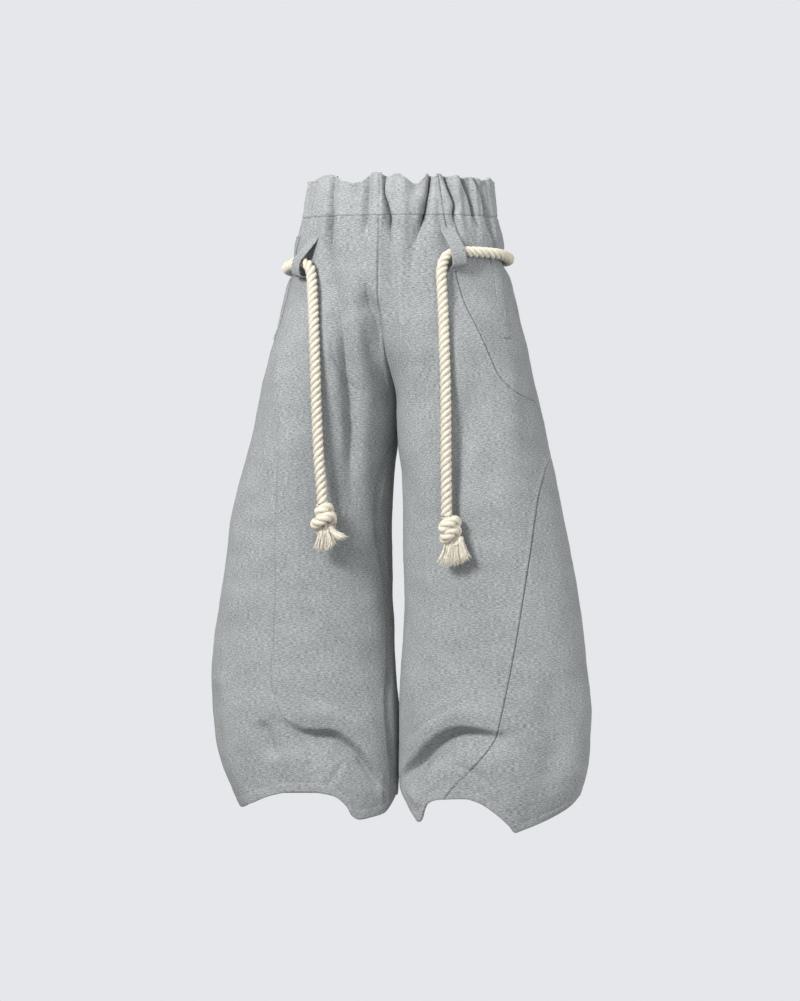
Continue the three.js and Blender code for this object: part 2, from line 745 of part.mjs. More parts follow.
// A tassel: frayed strands rooted in a round head. Each turns by the golden angle from the one
// before, as a sunflower's seeds do, and all spread alike, so none cross.
function tassel(tip) {
  const goldenAngle = Math.PI * (3 - Math.sqrt(5));
  const top = new THREE.CylinderGeometry(head.radius, head.radius, head.height, 12);
  let body = solid(top.rotateX(Math.PI / 2).translate(0, 0, -head.height / 2));
  const axis = new THREE.Vector2();
  for (let i = 0; i < strandsPerTassel; i++) {
    const radius = (head.radius - strandSide) * Math.sqrt((i + 0.5) / strandsPerTassel);
    const length = tip.length * (0.86 + 0.14 * Math.sin(i * 1.7));
    const points = [0.1, 0.4, 0.7, 1].map((share) => {
      const depth = length * share;
      const spread = 1 + (tip.flare - 1) * (depth / tip.length) ** 1.3;
      const drift = tip.drift * (depth / tip.length) ** 1.5;
      const place = new THREE.Vector2(radius * spread, 0).rotateAround(axis, i * goldenAngle);
      return new THREE.Vector3(place.x + drift, place.y, -depth);
    });
    const strand = along(new THREE.CatmullRomCurve3(points), 3, strandSide / Math.sqrt(3), 3);
    body = body.add(solid(strand));
  }
  return solidGeometry(body);
}

addPiece('waistband', waistband(), bandGrey);
for (const [name, side] of [['left', 1], ['right', -1]]) {
  addPiece('front_' + name, frontPanel(side), fleeceGrey);
  addPiece('back_' + name, backPanel(side), fleeceGrey);
  addPiece('pocket_welt_' + name, pocketWelt(side), fleeceGrey);
}
for (const loop of beltLoops) addPiece(loop.name, beltLoop(loop), fleeceGrey);
for (const [name, route] of Object.entries(ropeRoutes)) addPiece(name, rope(route), cottonRope);

// A knot and its tassel hang together from the end of the rope, turned by the same tilt.
for (const tip of ropeTips) {
  const knotMesh = addPiece('knot_' + tip.side, knot(tip), cottonRope);
  knotMesh.position.set(tip.x, tip.y, tip.z);
  knotMesh.rotation.y = tip.tilt * degree;
  const foot = new THREE.Vector3(0, 0, -tip.height / 2 - seamGap).applyEuler(knotMesh.rotation);
  const tasselMesh = addPiece('tassel_' + tip.side, tassel(tip), cottonRope);
  tasselMesh.position.copy(knotMesh.position).add(foot);
  tasselMesh.rotation.y = tip.tilt * degree * 0.5;
}

export default pants;
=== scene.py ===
import math

import bpy
import numpy as np
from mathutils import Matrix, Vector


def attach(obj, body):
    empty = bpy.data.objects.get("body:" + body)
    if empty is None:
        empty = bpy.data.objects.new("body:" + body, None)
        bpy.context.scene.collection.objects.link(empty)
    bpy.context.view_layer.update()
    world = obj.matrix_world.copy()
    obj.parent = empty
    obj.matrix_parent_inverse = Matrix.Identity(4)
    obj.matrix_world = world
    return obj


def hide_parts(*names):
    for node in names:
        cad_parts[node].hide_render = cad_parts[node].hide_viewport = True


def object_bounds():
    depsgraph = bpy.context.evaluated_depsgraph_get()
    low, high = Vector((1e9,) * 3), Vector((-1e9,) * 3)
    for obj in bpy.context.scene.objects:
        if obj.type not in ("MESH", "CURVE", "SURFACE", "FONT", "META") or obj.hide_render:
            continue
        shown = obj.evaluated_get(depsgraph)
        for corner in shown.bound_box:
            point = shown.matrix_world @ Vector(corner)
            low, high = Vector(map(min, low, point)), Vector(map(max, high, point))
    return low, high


# Wide leg fleece pants with a rope belt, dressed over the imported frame.
# The cloth is worked out in millimetres and turned to metres when a mesh is made.
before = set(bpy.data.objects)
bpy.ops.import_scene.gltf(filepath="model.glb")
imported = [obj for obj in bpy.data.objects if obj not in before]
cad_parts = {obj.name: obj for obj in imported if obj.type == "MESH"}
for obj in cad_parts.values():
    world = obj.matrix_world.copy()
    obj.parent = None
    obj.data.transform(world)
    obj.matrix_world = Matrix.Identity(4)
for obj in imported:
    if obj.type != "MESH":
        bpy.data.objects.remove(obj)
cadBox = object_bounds()
bpy.ops.object.select_all(action="DESELECT")
mm = 0.001
scene = bpy.context.scene
print("frame loaded:", len(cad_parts), "nodes")


# Small helpers.

def ease(low, high, at):
    t = np.clip((at - low) / (high - low), 0, 1)
    return t * t * (3 - 2 * t)


def bump(middle, width, at):
    return np.exp(-(((at - middle) / width) ** 2))


def through(keys, values, at):  # smooth curve through a column of a table
    keys, values = np.array(keys, float), np.array(values, float)
    if keys[0] > keys[-1]:
        keys, values = keys[::-1], values[::-1]
    gaps = np.diff(keys)
    slopes = np.diff(values) / gaps
    before, after = slopes[:-1], slopes[1:]
    same = before * after > 0
    tangents = np.zeros(len(keys))
    tangents[0], tangents[-1] = slopes[0], slopes[-1]
    tangents[1:-1] = np.where(same, 2 * before * after / np.where(same, before + after, 1), 0)
    at = np.clip(at, keys[0], keys[-1])
    i = np.clip(np.searchsorted(keys, at, side="right") - 1, 0, len(gaps) - 1)
    t = (at - keys[i]) / gaps[i]
    bend = t * (1 - t) * gaps[i] * (tangents[i] * (1 - t) - tangents[i + 1] * t)
    return values[i] + (values[i + 1] - values[i]) * t * t * (3 - 2 * t) + bend


def columns(names, rows):  # a table written in rows, as one list for each of its columns
    return dict(zip(names, np.array(rows, float).T))


wanderWaves = {"count": 7, "shortest": 0.7, "longest": 1.6, "divide": 3.2}


def wander(u, v, wave, seed):  # soft unevenness of about one wavelength, mostly from -1 to 1
    rng = np.random.default_rng(seed)
    total = 0
    for _ in range(wanderWaves["count"]):
        turn = rng.uniform(0, math.tau)
        size = wave * rng.uniform(wanderWaves["shortest"], wanderWaves["longest"])
        along = u * math.cos(turn) + v * math.sin(turn)
        total = total + np.sin(along * math.tau / size + rng.uniform(0, math.tau))
    return total / wanderWaves["divide"]


def smoothRoute(points, step):  # points a step apart on the curve through the given ones
    points = np.array(points, float)
    first, last = 2 * points[0] - points[1], 2 * points[-1] - points[-2]
    p = np.vstack([first, points, last])
    gap = np.sqrt(np.linalg.norm(np.diff(p, axis=0), axis=1))[:, None]
    between = 24
    fine = []
    for i in range(1, len(p) - 2):
        a, b, c = gap[i - 1], gap[i], gap[i + 1]
        leave = ((p[i] - p[i - 1]) / a - (p[i + 1] - p[i - 1]) / (a + b) + (p[i + 1] - p[i]) / b) * b
        reach = ((p[i + 1] - p[i]) / b - (p[i + 2] - p[i]) / (b + c) + (p[i + 2] - p[i + 1]) / c) * b
        t = np.linspace(0, 1, between, endpoint=False)[:, None]
        fine.append((2 * t**3 - 3 * t**2 + 1) * p[i] + (t**3 - 2 * t**2 + t) * leave
                    + (3 * t**2 - 2 * t**3) * p[i + 1] + (t**3 - t**2) * reach)
    fine = np.vstack(fine + [p[-2:-1]])
    run = np.concatenate([[0], np.cumsum(np.linalg.norm(np.diff(fine, axis=0), axis=1))])
    at = np.linspace(0, run[-1], max(2, round(run[-1] / step) + 1))
    return np.column_stack([np.interp(at, run, fine[:, k]) for k in range(3)])


def meshObject(name, points, faces, uvs=None):  # points in millimetres, faces as rows of corners
    points = np.asarray(points, float).reshape(-1, 3) * mm
    faces = np.asarray(faces)
    a, b, c = points[faces[:, 0]], points[faces[:, 1]], points[faces[:, 2]]
    volume = np.einsum("ij,ij->i", a, np.cross(b, c)).sum()
    if faces.shape[1] == 4:
        d = points[faces[:, 3]]
        volume += np.einsum("ij,ij->i", a, np.cross(c, d)).sum()
    if volume < 0:
        faces = faces[:, ::-1]
        uvs = None if uvs is None else uvs[:, ::-1]
    mesh = bpy.data.meshes.new(name)
    mesh.vertices.add(len(points))
    mesh.vertices.foreach_set("co", points.ravel())
    mesh.loops.add(faces.size)
    mesh.loops.foreach_set("vertex_index", faces.ravel().astype(np.int32))
    mesh.polygons.add(len(faces))
    mesh.polygons.foreach_set("loop_start", np.arange(0, faces.size, faces.shape[1], dtype=np.int32))
    mesh.polygons.foreach_set("use_smooth", np.ones(len(faces), bool))
    if uvs is not None:
        mesh.uv_layers.new(name="cloth").data.foreach_set("uv", uvs.ravel())
    mesh.update(calc_edges=True)
    mesh.validate()
    piece = bpy.data.objects.new(name, mesh)
    scene.collection.objects.link(piece)
    return piece


def dress(piece, material, slotName, *nodes):
    piece.data.materials.append(material)
    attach(piece, "root")
    if nodes:
        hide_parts(*nodes)
    return piece


# The camera stands level with the middle of the legs and a little to the wearer's left.

viewpoint = {"turn": 17, "distance": 9.0, "tall": 1.5376, "height": -0.4646, "sensor": 36, "far": 60}

cameraTurn = math.radians(viewpoint["turn"])
cameraData = bpy.data.cameras.new("camera")
cameraData.sensor_width = viewpoint["sensor"]
cameraData.lens = viewpoint["sensor"] * viewpoint["distance"] / viewpoint["tall"]
cameraData.clip_end = viewpoint["far"]
camera = bpy.data.objects.new("camera", cameraData)
camera.location = (
    math.sin(cameraTurn) * viewpoint["distance"],
    -math.cos(cameraTurn) * viewpoint["distance"],
    viewpoint["height"],
)
camera.rotation_euler = (math.pi / 2, 0, cameraTurn)
scene.collection.objects.link(camera)
scene.camera = camera
scene.view_settings.view_transform = "Standard"


def newGroup(name, inputs, outputs):
    group = bpy.data.node_groups.new(name, "ShaderNodeTree")
    for label, kind, value in inputs:
        socket = group.interface.new_socket(label, in_out="INPUT", socket_type=kind)
        if value is not None:
            socket.default_value = value
    for label, kind in outputs:
        group.interface.new_socket(label, in_out="OUTPUT", socket_type=kind)
    return group, group.nodes.new("NodeGroupInput"), group.nodes.new("NodeGroupOutput")


def addMath(tree, operation, first, second=None, clamp=False):
    node = tree.nodes.new("ShaderNodeMath")
    node.operation = operation
    node.use_clamp = clamp
    for i, value in enumerate((first, second)):
        if value is None:
            continue
        if isinstance(value, (int, float)):
            node.inputs[i].default_value = value
        else:
            tree.links.new(value, node.inputs[i])
    return node.outputs[0]


def addNoise(tree, vector, grain):  # noise on a stretched vector
    mapping = tree.nodes.new("ShaderNodeMapping")
    mapping.inputs["Scale"].default_value = grain["stretch"]
    tree.links.new(vector, mapping.inputs["Vector"])
    noise = tree.nodes.new("ShaderNodeTexNoise")
    noise.inputs["Scale"].default_value = grain["scale"]
    noise.inputs["Detail"].default_value = grain["detail"]
    noise.inputs["Roughness"].default_value = grain["roughness"]
    tree.links.new(mapping.outputs["Vector"], noise.inputs["Vector"])
    return noise.outputs["Fac"]


def addShares(tree, *pairs):  # each value times its share, added up
    total = None
    for value, share in pairs:
        part = addMath(tree, "MULTIPLY", value, share)
        total = part if total is None else addMath(tree, "ADD", total, part)
    return total


def finishSurface(surface, look):
    surface.inputs["Roughness"].default_value = look["roughness"]
    surface.inputs["Specular IOR Level"].default_value = look["specular"]
    surface.inputs["Sheen Weight"].default_value = look["sheen"]
    surface.inputs["Sheen Roughness"].default_value = look["sheenRoughness"]


marlGrains = {
    "streaks": {"stretch": (1, 4.0, 1), "scale": 200, "detail": 2, "roughness": 0.6, "share": 0.55},
    "fibres": {"stretch": (1, 2.2, 1), "scale": 520, "detail": 3, "roughness": 0.7, "share": 0.5},
    "clouds": {"stretch": (1, 1.6, 1), "scale": 16, "detail": 3, "roughness": 0.6, "share": 0.1},
    "nap": {"stretch": (1, 1, 1), "scale": 1500, "detail": 2, "roughness": 0.6, "share": 0.4},
}
marlBalance = {"middle": 0.575, "spread": 3.1, "yarnHeight": 0.6}


def marlGroup():  # mixed grey fibres in short level streaks, and the nap that they raise
    group, into, out = newGroup(
        "marl fleece",
        [("Vector", "NodeSocketVector", None), ("Dark", "NodeSocketColor", (0.25, 0.27, 0.28, 1)),
         ("Light", "NodeSocketColor", (0.6, 0.62, 0.64, 1)), ("Contrast", "NodeSocketFloat", 1.0)],
        [("Color", "NodeSocketColor"), ("Height", "NodeSocketFloat")],
    )
    vector = into.outputs["Vector"]
    grains = {name: addNoise(group, vector, grain) for name, grain in marlGrains.items()}
    shades = [(grains[name], marlGrains[name]["share"]) for name in ("streaks", "fibres", "clouds")]
    centred = addMath(group, "SUBTRACT", addShares(group, *shades), marlBalance["middle"])
    contrasted = addMath(group, "MULTIPLY", centred, into.outputs["Contrast"])
    spread = addMath(group, "MULTIPLY", contrasted, marlBalance["spread"])
    share = addMath(group, "ADD", spread, 0.5, clamp=True)
    blend = group.nodes.new("ShaderNodeMix")
    blend.data_type = "RGBA"
    group.links.new(share, blend.inputs[0])  # 6, 7 and 2 are its sockets for colours
    group.links.new(into.outputs["Dark"], blend.inputs[6])
    group.links.new(into.outputs["Light"], blend.inputs[7])
    height = addShares(group, (grains["fibres"], marlBalance["yarnHeight"]),
                       (grains["nap"], marlGrains["nap"]["share"]))
    group.links.new(blend.outputs[2], out.inputs["Color"])
    group.links.new(height, out.inputs["Height"])
    return group


marl = marlGroup()


def newMaterial(name):
    material = bpy.data.materials.new(name)
    material.use_nodes = True
    tree = material.node_tree
    return material, tree, tree.nodes["Principled BSDF"]


def fleeceMaterial(name, look):
    material, tree, surface = newMaterial(name)
    uv = tree.nodes.new("ShaderNodeUVMap")
    uv.uv_map = "cloth"
    cloth = tree.nodes.new("ShaderNodeGroup")
    cloth.node_tree = marl
    cloth.inputs["Dark"].default_value = (*look["dark"], 1)
    cloth.inputs["Light"].default_value = (*look["light"], 1)
    cloth.inputs["Contrast"].default_value = look["contrast"]
    tree.links.new(uv.outputs["UV"], cloth.inputs["Vector"])
    relief = tree.nodes.new("ShaderNodeBump")
    relief.inputs["Strength"].default_value = fleeceFinish["relief"]
    relief.inputs["Distance"].default_value = fleeceFinish["napHeight"]
    tree.links.new(cloth.outputs["Height"], relief.inputs["Height"])
    tree.links.new(cloth.outputs["Color"], surface.inputs["Base Color"])
    tree.links.new(relief.outputs["Normal"], surface.inputs["Normal"])
    finishSurface(surface, fleeceFinish)
    return material


fleeceFinish = {"relief": 0.35, "napHeight": 0.0008, "roughness": 0.95, "specular": 0.15,
                "sheen": 0.08, "sheenRoughness": 0.6}
fleeceLook = {"dark": (0.134, 0.148, 0.155), "light": (0.414, 0.434, 0.446), "contrast": 1.4}
bandLook = {"dark": (0.163, 0.177, 0.184), "light": (0.468, 0.489, 0.5), "contrast": 1.35}
fleece = fleeceMaterial("heather fleece", fleeceLook)
bandFleece = fleeceMaterial("waistband fleece", bandLook)


def ropeMaterial(name, look):
    material, tree, surface = newMaterial(name)
    uv = tree.nodes.new("ShaderNodeUVMap")
    uv.uv_map = "cloth"
    grains = [(addNoise(tree, uv.outputs["UV"], grain), grain["share"]) for grain in ropeGrains]
    share = addShares(tree, *grains)
    ramp = tree.nodes.new("ShaderNodeValToRGB")
    for stop, shade in zip(ramp.color_ramp.elements, ("dark", "light")):
        stop.position = ropeFinish[shade + "At"]
        stop.color = (*look[shade], 1)
    relief = tree.nodes.new("ShaderNodeBump")
    relief.inputs["Strength"].default_value = ropeFinish["relief"]
    relief.inputs["Distance"].default_value = look["yarnHeight"]
    tree.links.new(share, ramp.inputs["Fac"])
    tree.links.new(share, relief.inputs["Height"])
    tree.links.new(ramp.outputs["Color"], surface.inputs["Base Color"])
    tree.links.new(relief.outputs["Normal"], surface.inputs["Normal"])
    finishSurface(surface, ropeFinish)
    return material


ropeGrains = [  # long yarns, then the fluff on them
    {"stretch": (1, 40, 1), "scale": 8, "detail": 2, "roughness": 0.6, "share": 0.65},
    {"stretch": (60, 900, 1), "scale": 1, "detail": 3, "roughness": 0.7, "share": 0.35},
]
ropeFinish = {"darkAt": 0.32, "lightAt": 0.66, "relief": 0.6, "roughness": 0.85, "specular": 0.2,
              "sheen": 0.15, "sheenRoughness": 0.5}
cottonLook = {"dark": (0.535, 0.493, 0.402), "light": (0.735, 0.7, 0.612), "yarnHeight": 0.0006}
# painted light: the tassel's cotton is made lighter than the rope's to offset the shade among its fibres
tasselLightenedLook = {"dark": (0.74, 0.70, 0.60), "light": (0.90, 0.86, 0.76), "yarnHeight": 0.0003}
cotton = ropeMaterial("cream cotton", cottonLook)
tasselLightenedCotton = ropeMaterial("tassel cotton painted lighter", tasselLightenedLook)
print("materials made")


# One rope in three stretches that meet inside the front loops.

ropeSize = {"strandOut": 4.1, "strandRadial": 4.4, "strandAround": 4.9, "lay": 31, "step": 1.5,
            "corners": 20}
ropeRoutes = {
    "rope_waist": [
        (114.5, -96.5, -90), (121, -92.3, -87.8), (139, -75, -87.5), (154, -58, -88), (167.5, -37.5, -89.5),
        (170.5, -10.5, -91.5), (168.5, 17.5, -94), (158.5, 47.5, -96), (139, 75, -96), (112, 98.5, -93),
        (80.5, 116, -89), (42, 127.5, -86), (0, 132, -85), (-42, 127, -88), (-80, 115, -93),
        (-113, 98.5, -99), (-140, 75, -105), (-160.5, 48, -109), (-171.5, 18, -111), (-173.5, -10.5, -110),
        (-170, -38, -107), (-158.5, -58.5, -103.5), (-142.5, -77.5, -101), (-132.5, -86.9, -101),
        (-126.5, -91.5, -102),
    ],
    "rope_end_left": [
        (114.5, -96.5, -90), (108, -100.7, -92.2), (101.5, -105.5, -102), (99, -109.5, -117),
        (100.5, -113, -138), (103, -116, -162), (106, -121, -197), (109, -127, -236), (111, -129, -275),
        (112, -130, -315), (112, -129, -355), (112, -129, -390), (112, -128, -425), (112, -127, -458),
        (112, -126, -488),
    ],
    "rope_end_right": [
        (-126.5, -91.5, -102), (-120.5, -96.1, -103), (-112.5, -101, -111), (-108.5, -105.5, -125),
        (-105.5, -111, -143), (-101.5, -119, -173), (-98, -126.5, -203), (-95.8, -130, -236),
        (-94.5, -130.5, -274), (-93.5, -129.5, -315), (-92, -128, -358), (-90.5, -127.5, -390),
        (-88.5, -127, -420), (-86, -126, -449), (-84.5, -126, -470),
    ],
}


def twistedRope(name, route, size):  # three strands laid round each other, as one mesh
    path = smoothRoute(route, size["step"])
    steps, corners = len(path), size["corners"]
    tangent = np.gradient(path, axis=0)
    tangent /= np.linalg.norm(tangent, axis=1)[:, None]
    side = np.cross(tangent[0], (0.31, 0.17, 0.93))  # any way that no route starts in
    sides = []
    for t in tangent:  # carried along the path without turning
        side = side - t * side.dot(t)
        side /= np.linalg.norm(side)
        sides.append(side)
    sides = np.array(sides)
    others = np.cross(tangent, sides)
    run = np.concatenate([[0], np.cumsum(np.linalg.norm(np.diff(path, axis=0), axis=1))])
    around = np.linspace(0, math.tau, corners, endpoint=False)
    points, faces, uvs = [], [], []
    for strand in range(3):
        angle = math.tau * run / size["lay"] + strand * math.tau / 3
        out = np.cos(angle)[:, None] * sides + np.sin(angle)[:, None] * others
        over = -np.sin(angle)[:, None] * sides + np.cos(angle)[:, None] * others
        start = len(points) * steps * corners
        ring = (path + size["strandOut"] * out)[:, None, :] \
            + size["strandRadial"] * np.cos(around)[None, :, None] * out[:, None, :] \
            + size["strandAround"] * np.sin(around)[None, :, None] * over[:, None, :]
        points.append(ring.reshape(-1, 3))
        r, c = np.meshgrid(np.arange(steps - 1), np.arange(corners), indexing="ij")
        r, c = r.ravel(), c.ravel()
        after = (c + 1) % corners
        faces.append(start + np.column_stack([r * corners + c, r * corners + after,
                                              (r + 1) * corners + after, (r + 1) * corners + c]))
        cornersRound = [(r, c), (r, c + 1), (r + 1, c + 1), (r + 1, c)]
        uvs.append(np.stack([np.column_stack([strand + k / corners, run[row] * mm])
                             for row, k in cornersRound], axis=1))
        for end in (0, steps - 1):  # closed ends, as fans of quads
            ids = start + end * corners + np.arange(corners)
            ids = ids if end else ids[::-1]
            half = corners // 2
            cap = [[ids[i], ids[i + 1], ids[corners - 2 - i], ids[corners - 1 - i]] for i in range(half - 1)]
            faces.append(np.array(cap))
            uvs.append(np.full((len(cap), 4, 2), (strand + 0.5, run[end] * mm)))
    piece = meshObject(name, np.vstack(points), np.vstack(faces), np.vstack(uvs))
    return piece, path


ropes = {}
for name, route in ropeRoutes.items():
    piece, path = twistedRope(name + "_cotton", route, ropeSize)
    ropes[name] = (dress(piece, cotton, "cotton_rope", name), path * mm)
print("rope laid")


ropeTips = {
    "left": {
        "x": 118, "y": -126, "z": -512.2, "width": 38, "height": 49, "tilt": -14, "wrapStart": 118,
        "reach": (1.2, 1.05, 0.75), "slope": 7, "root": (6, 2, -9), "rootSize": (12, 5), "seed": 5,
        "clumps": [(-15, 44), (-10, 45), (-6, 46), (-3, 45), (2, 44), (7, 42), (12, 40), (18, 37)],
    },
    "right": {
        "x": -83.2, "y": -126, "z": -491.6, "width": 40, "height": 43, "tilt": -8, "wrapStart": 110,
        "reach": (0.75, 1.15, 1.1), "slope": 7, "root": (4, 1, -13), "rootSize": (10, 5), "seed": 9,
        "clumps": [(-10, 37), (-5, 38), (0, 39), (5, 38), (11, 36), (17, 33), (42, 28), (50, 29)],
    },
}
knotSize = {"radius": 8.8, "strandOut": 4.2, "strandRadial": 4.5, "strandAround": 5.0, "lay": 32,
            "step": 1.2, "corners": 16, "pitch": 13.5, "turns": 1.7, "points": 20,
            "into": [(0, 0, 1), (0.5, 2, -6)], "outOf": [(3, 3, 8), (3, 3, 3)]}
tasselSize = {"fibres": 440, "radius": 0.45, "thinnest": 0.55, "steps": 9, "clumpSpread": 3.0,
              "shortest": 0.8, "spreadAtRoot": 0.35, "forward": -0.08, "forwardSpread": 0.1,
              "rootSpread": 1, "rootRise": 3, "sway": 1.1, "swayBend": 1.5, "curl": 0.6,
              "curlAway": (1, -0.5, 0), "curlTurns": (4, 10), "curlStart": 6}
looseThread = [(11, -8, 3), (15, -10, 7), (20, -10, 5), (23, -9, -1), (23, -8, -7), (19, -6, -13)]


def turned(points, tilt):  # about the Y axis
    c, s = math.cos(math.radians(tilt)), math.sin(math.radians(tilt))
    points = np.asarray(points, float)
    return np.column_stack([points[:, 0] * c + points[:, 2] * s, points[:, 1],
                            -points[:, 0] * s + points[:, 2] * c])


def knotRoute(tip):  # in from above, round itself, and out below
    wrap = tip["width"] / 2 - knotSize["radius"]
    half = tip["height"] / 2
    route = [(x, y, half + z) for x, y, z in knotSize["into"]]
    for i in range(knotSize["points"]):
        share = i / (knotSize["points"] - 1)
        angle = math.radians(tip["wrapStart"] - 360 * knotSize["turns"] * share)
        rise = knotSize["pitch"] * knotSize["turns"] * (0.5 - share) + tip["slope"] * math.cos(angle)
        reach = wrap * np.interp(share, (0, 0.5, 1), tip["reach"])
        route.append((reach * math.cos(angle), -reach * math.sin(angle), rise))
    return route + [(x, y, z - half) for x, y, z in knotSize["outOf"]]


def fibreTubes(name, routes, radius):  # thin four-sided fibres, joined as one mesh
    points, faces = [], []
    for route in routes:
        tangent = np.gradient(route, axis=0)
        tangent /= np.linalg.norm(tangent, axis=1)[:, None]
        side = np.cross(tangent, (0.3, 0.9, 0.2))  # any way that no fibre hangs in
        side /= np.linalg.norm(side, axis=1)[:, None]
        other = np.cross(tangent, side)
        thin = radius * np.linspace(1, tasselSize["thinnest"], len(route))[:, None]
        start = sum(len(p) for p in points)
        offsets = (thin * side, thin * other, -thin * side, -thin * other)
        ring = np.stack([route + offset for offset in offsets], axis=1)
        points.append(ring.reshape(-1, 3))
        for r in range(len(route) - 1):
            for c in range(4):
                n = (c + 1) % 4
                low = start + 4 * r
                faces.append([low + c, low + n, low + 4 + n, low + 4 + c])
        foot = start + 4 * (len(route) - 1)
        faces.append([start + 3, start + 2, start + 1, start])
        faces.append([foot, foot + 1, foot + 2, foot + 3])
    faces = np.array(faces)
    points = np.vstack(points)
    shades = 97  # the fibres share as many places across the pattern
    uvs = np.stack([(faces // 4 % shades) / shades, points[faces][:, :, 2] * mm], axis=2)
    return meshObject(name, points, faces, uvs)


def tasselRoutes(tip):  # clumps of fibres that fan out from the side of the knot
    rng = np.random.default_rng(tip["seed"])
    routes = []
    down = np.linspace(0, 1, tasselSize["steps"])[:, None]
    root = np.array(tip["root"], float)
    wide, deep = tip["rootSize"]
    for i in range(tasselSize["fibres"]):
        place = i % len(tip["clumps"])
        lean, length = tip["clumps"][place]
        across = -1 + 2 * (place + 0.5) / len(tip["clumps"])
        start = root + (wide * across + rng.normal(0, tasselSize["rootSpread"]),
                        deep * rng.uniform(-1, 1), rng.uniform(0, tasselSize["rootRise"]))
        lean = math.radians(lean + rng.normal(0, tasselSize["clumpSpread"]))
        length = length * rng.uniform(tasselSize["shortest"], 1.0)
        forward = rng.normal(tasselSize["forward"], tasselSize["forwardSpread"])
        out = np.array([math.sin(lean), forward, -math.cos(lean)])
        below = np.array([0, 0, -1])
        spread = tasselSize["spreadAtRoot"]
        shape = out * (spread + (1 - spread) * down) + below * (1 - spread) * (1 - down)
        sway = rng.normal(0, tasselSize["sway"], 3) * down ** tasselSize["swayBend"]
        waves = down * rng.uniform(*tasselSize["curlTurns"]) + rng.uniform(0, tasselSize["curlStart"])
        curl = tasselSize["curl"] * np.sin(waves) * down
        routes.append(start + shape * length * down + sway + curl * tasselSize["curlAway"])
    return routes


for side, tip in ropeTips.items():
    place = np.array([tip["x"], tip["y"], tip["z"]])
    knotPath = turned(knotRoute(tip), tip["tilt"]) + place
    knot, _ = twistedRope("knot_" + side + "_cotton", knotPath, knotSize)
    dress(knot, cotton, "cotton_rope", "knot_" + side)
    strands = [route + place for route in tasselRoutes(tip)]
    if side == "right":
        strands.append(smoothRoute(looseThread, 1.5) + place)
    tassel = fibreTubes("tassel_" + side + "_cotton", strands, tasselSize["radius"])
    # the tassel takes the lighter cotton, painted light that offsets the shade among its fibres
    dress(tassel, tasselLightenedCotton, "cotton_rope", "tassel_" + side)


for side in ("left", "right"):
    rope, path = ropes["rope_end_" + side]
print("knots and tassels tied")


# The cloth is the level sections of each leg, pushed in and out by folds.

sections = columns(
    ("height", "outerLeft", "innerLeft", "outerRight", "innerRight", "front", "back"),
    [
        (40, 143, -143, 142, -142, 104, 106), (0, 147, -147, 147, -147, 107, 109),
        (-31, 152, -152, 152, -152, 110, 112), (-68, 162, -161, 162, -161, 114, 119),
        (-122, 172, -151, 173, -151, 118, 127), (-160, 180, -118, 182, -118, 120, 131),
        (-200, 189, -64, 192, -64, 121, 131), (-233, 198, -32, 202, -32, 121, 131),
        (-262, 205, -13, 209, -13, 120, 129), (-285, 211, -4, 216, -4, 119, 127),
        (-310, 217, 0.2, 222, 0.2, 117, 125), (-340, 224, 1, 229, 3, 115, 121),
        (-381, 233, 2, 239, 8, 114, 116), (-430, 244, 8, 252, 14, 112, 112),
        (-500, 260, 11, 270, 17, 108, 108), (-602, 280, 11, 285, 17, 101, 102),
        (-676, 290, 8, 296, 12, 96, 98), (-750, 299, 2, 303, 7, 91, 94),
        (-790, 303, 1, 302, 3, 90, 92), (-830, 302, 1, 298, 3, 88, 90),
        (-870, 298, 1, 288, 3, 85, 87), (-900, 290, 2, 276, 4, 82, 84),
        (-925, 279, 5, 264, 7, 79, 81), (-970, 250, 14, 236, 16, 74, 76),
    ],
)
barrelSeams = columns(
    ("height", 1, -1),
    [
        (40, 37, 51), (-31, 39.5, 53), (-100, 41, 54), (-160, 41, 52), (-216, 43.5, 45),
        (-250, 45.5, 39), (-274, 48, 35), (-290, 53, 32), (-304, 63, 29), (-315, 86, 26),
        (-335, 103, 22), (-384, 101, 17.5), (-418, 77, 14.5), (-480, 56, 11), (-556, 42, 9),
        (-616, 33, 7.5), (-680, 25.5, 8), (-735, 19.5, 9), (-785, 14, 5), (-816, 11, -3.5),
        (-850, 3.5, -8.5), (-880, -7, -10), (-920, -21, -9), (-970, -27, -9),
    ],
)
hems = {
    1: columns(("angle", "height"), [
        (-90, -902), (-80, -908), (-68, -922), (-54, -943), (-46, -955), (-43, -952), (-35, -926),
        (-26, -920), (-7, -918), (3, -924), (14, -938), (28, -958), (36, -969), (40, -966),
        (67, -943), (80, -928), (92, -916), (130, -914), (180, -918), (230, -914), (270, -902),
    ]),
    -1: columns(("angle", "height"), [
        (-90, -917), (-70, -944), (-55, -950), (-44, -953), (-38, -948), (-32, -930), (-23, -916),
        (-8, -911), (4, -911), (21, -917), (43, -930), (62, -937), (86, -938), (110, -926),
        (150, -920), (190, -920), (230, -918), (270, -917),
    ]),
}
bandTops = columns(("angle", "height"), [
    (-180, 27), (-150, 31), (-120, 26), (-95, 29), (-72, 23), (-54, 27), (-41, 34), (-33, 29),
    (-24, 22), (-15, 18), (-10, 24), (-6, 35), (0, 34), (4, 27), (10, 33), (15, 28), (22, 17),
    (27, 25), (30, 32), (33, 27), (38, 33), (44, 28), (50, 30), (57, 27), (66, 28), (75, 24),
    (90, 29), (110, 25), (135, 30), (160, 25), (180, 27),
])
inseamLine = columns(  # where the inseam of the wearer's right leg is turned to the front
    ("height", "angle"),
    [
        (-350, -92), (-372, -85.5), (-394, -76), (-448, -66.5), (-480, -64.5), (-526, -69),
        (-572, -75.5), (-620, -80), (-680, -78), (-734, -74), (-780, -68), (-836, -70),
        (-866, -72.5), (-924, -77),
    ],
)
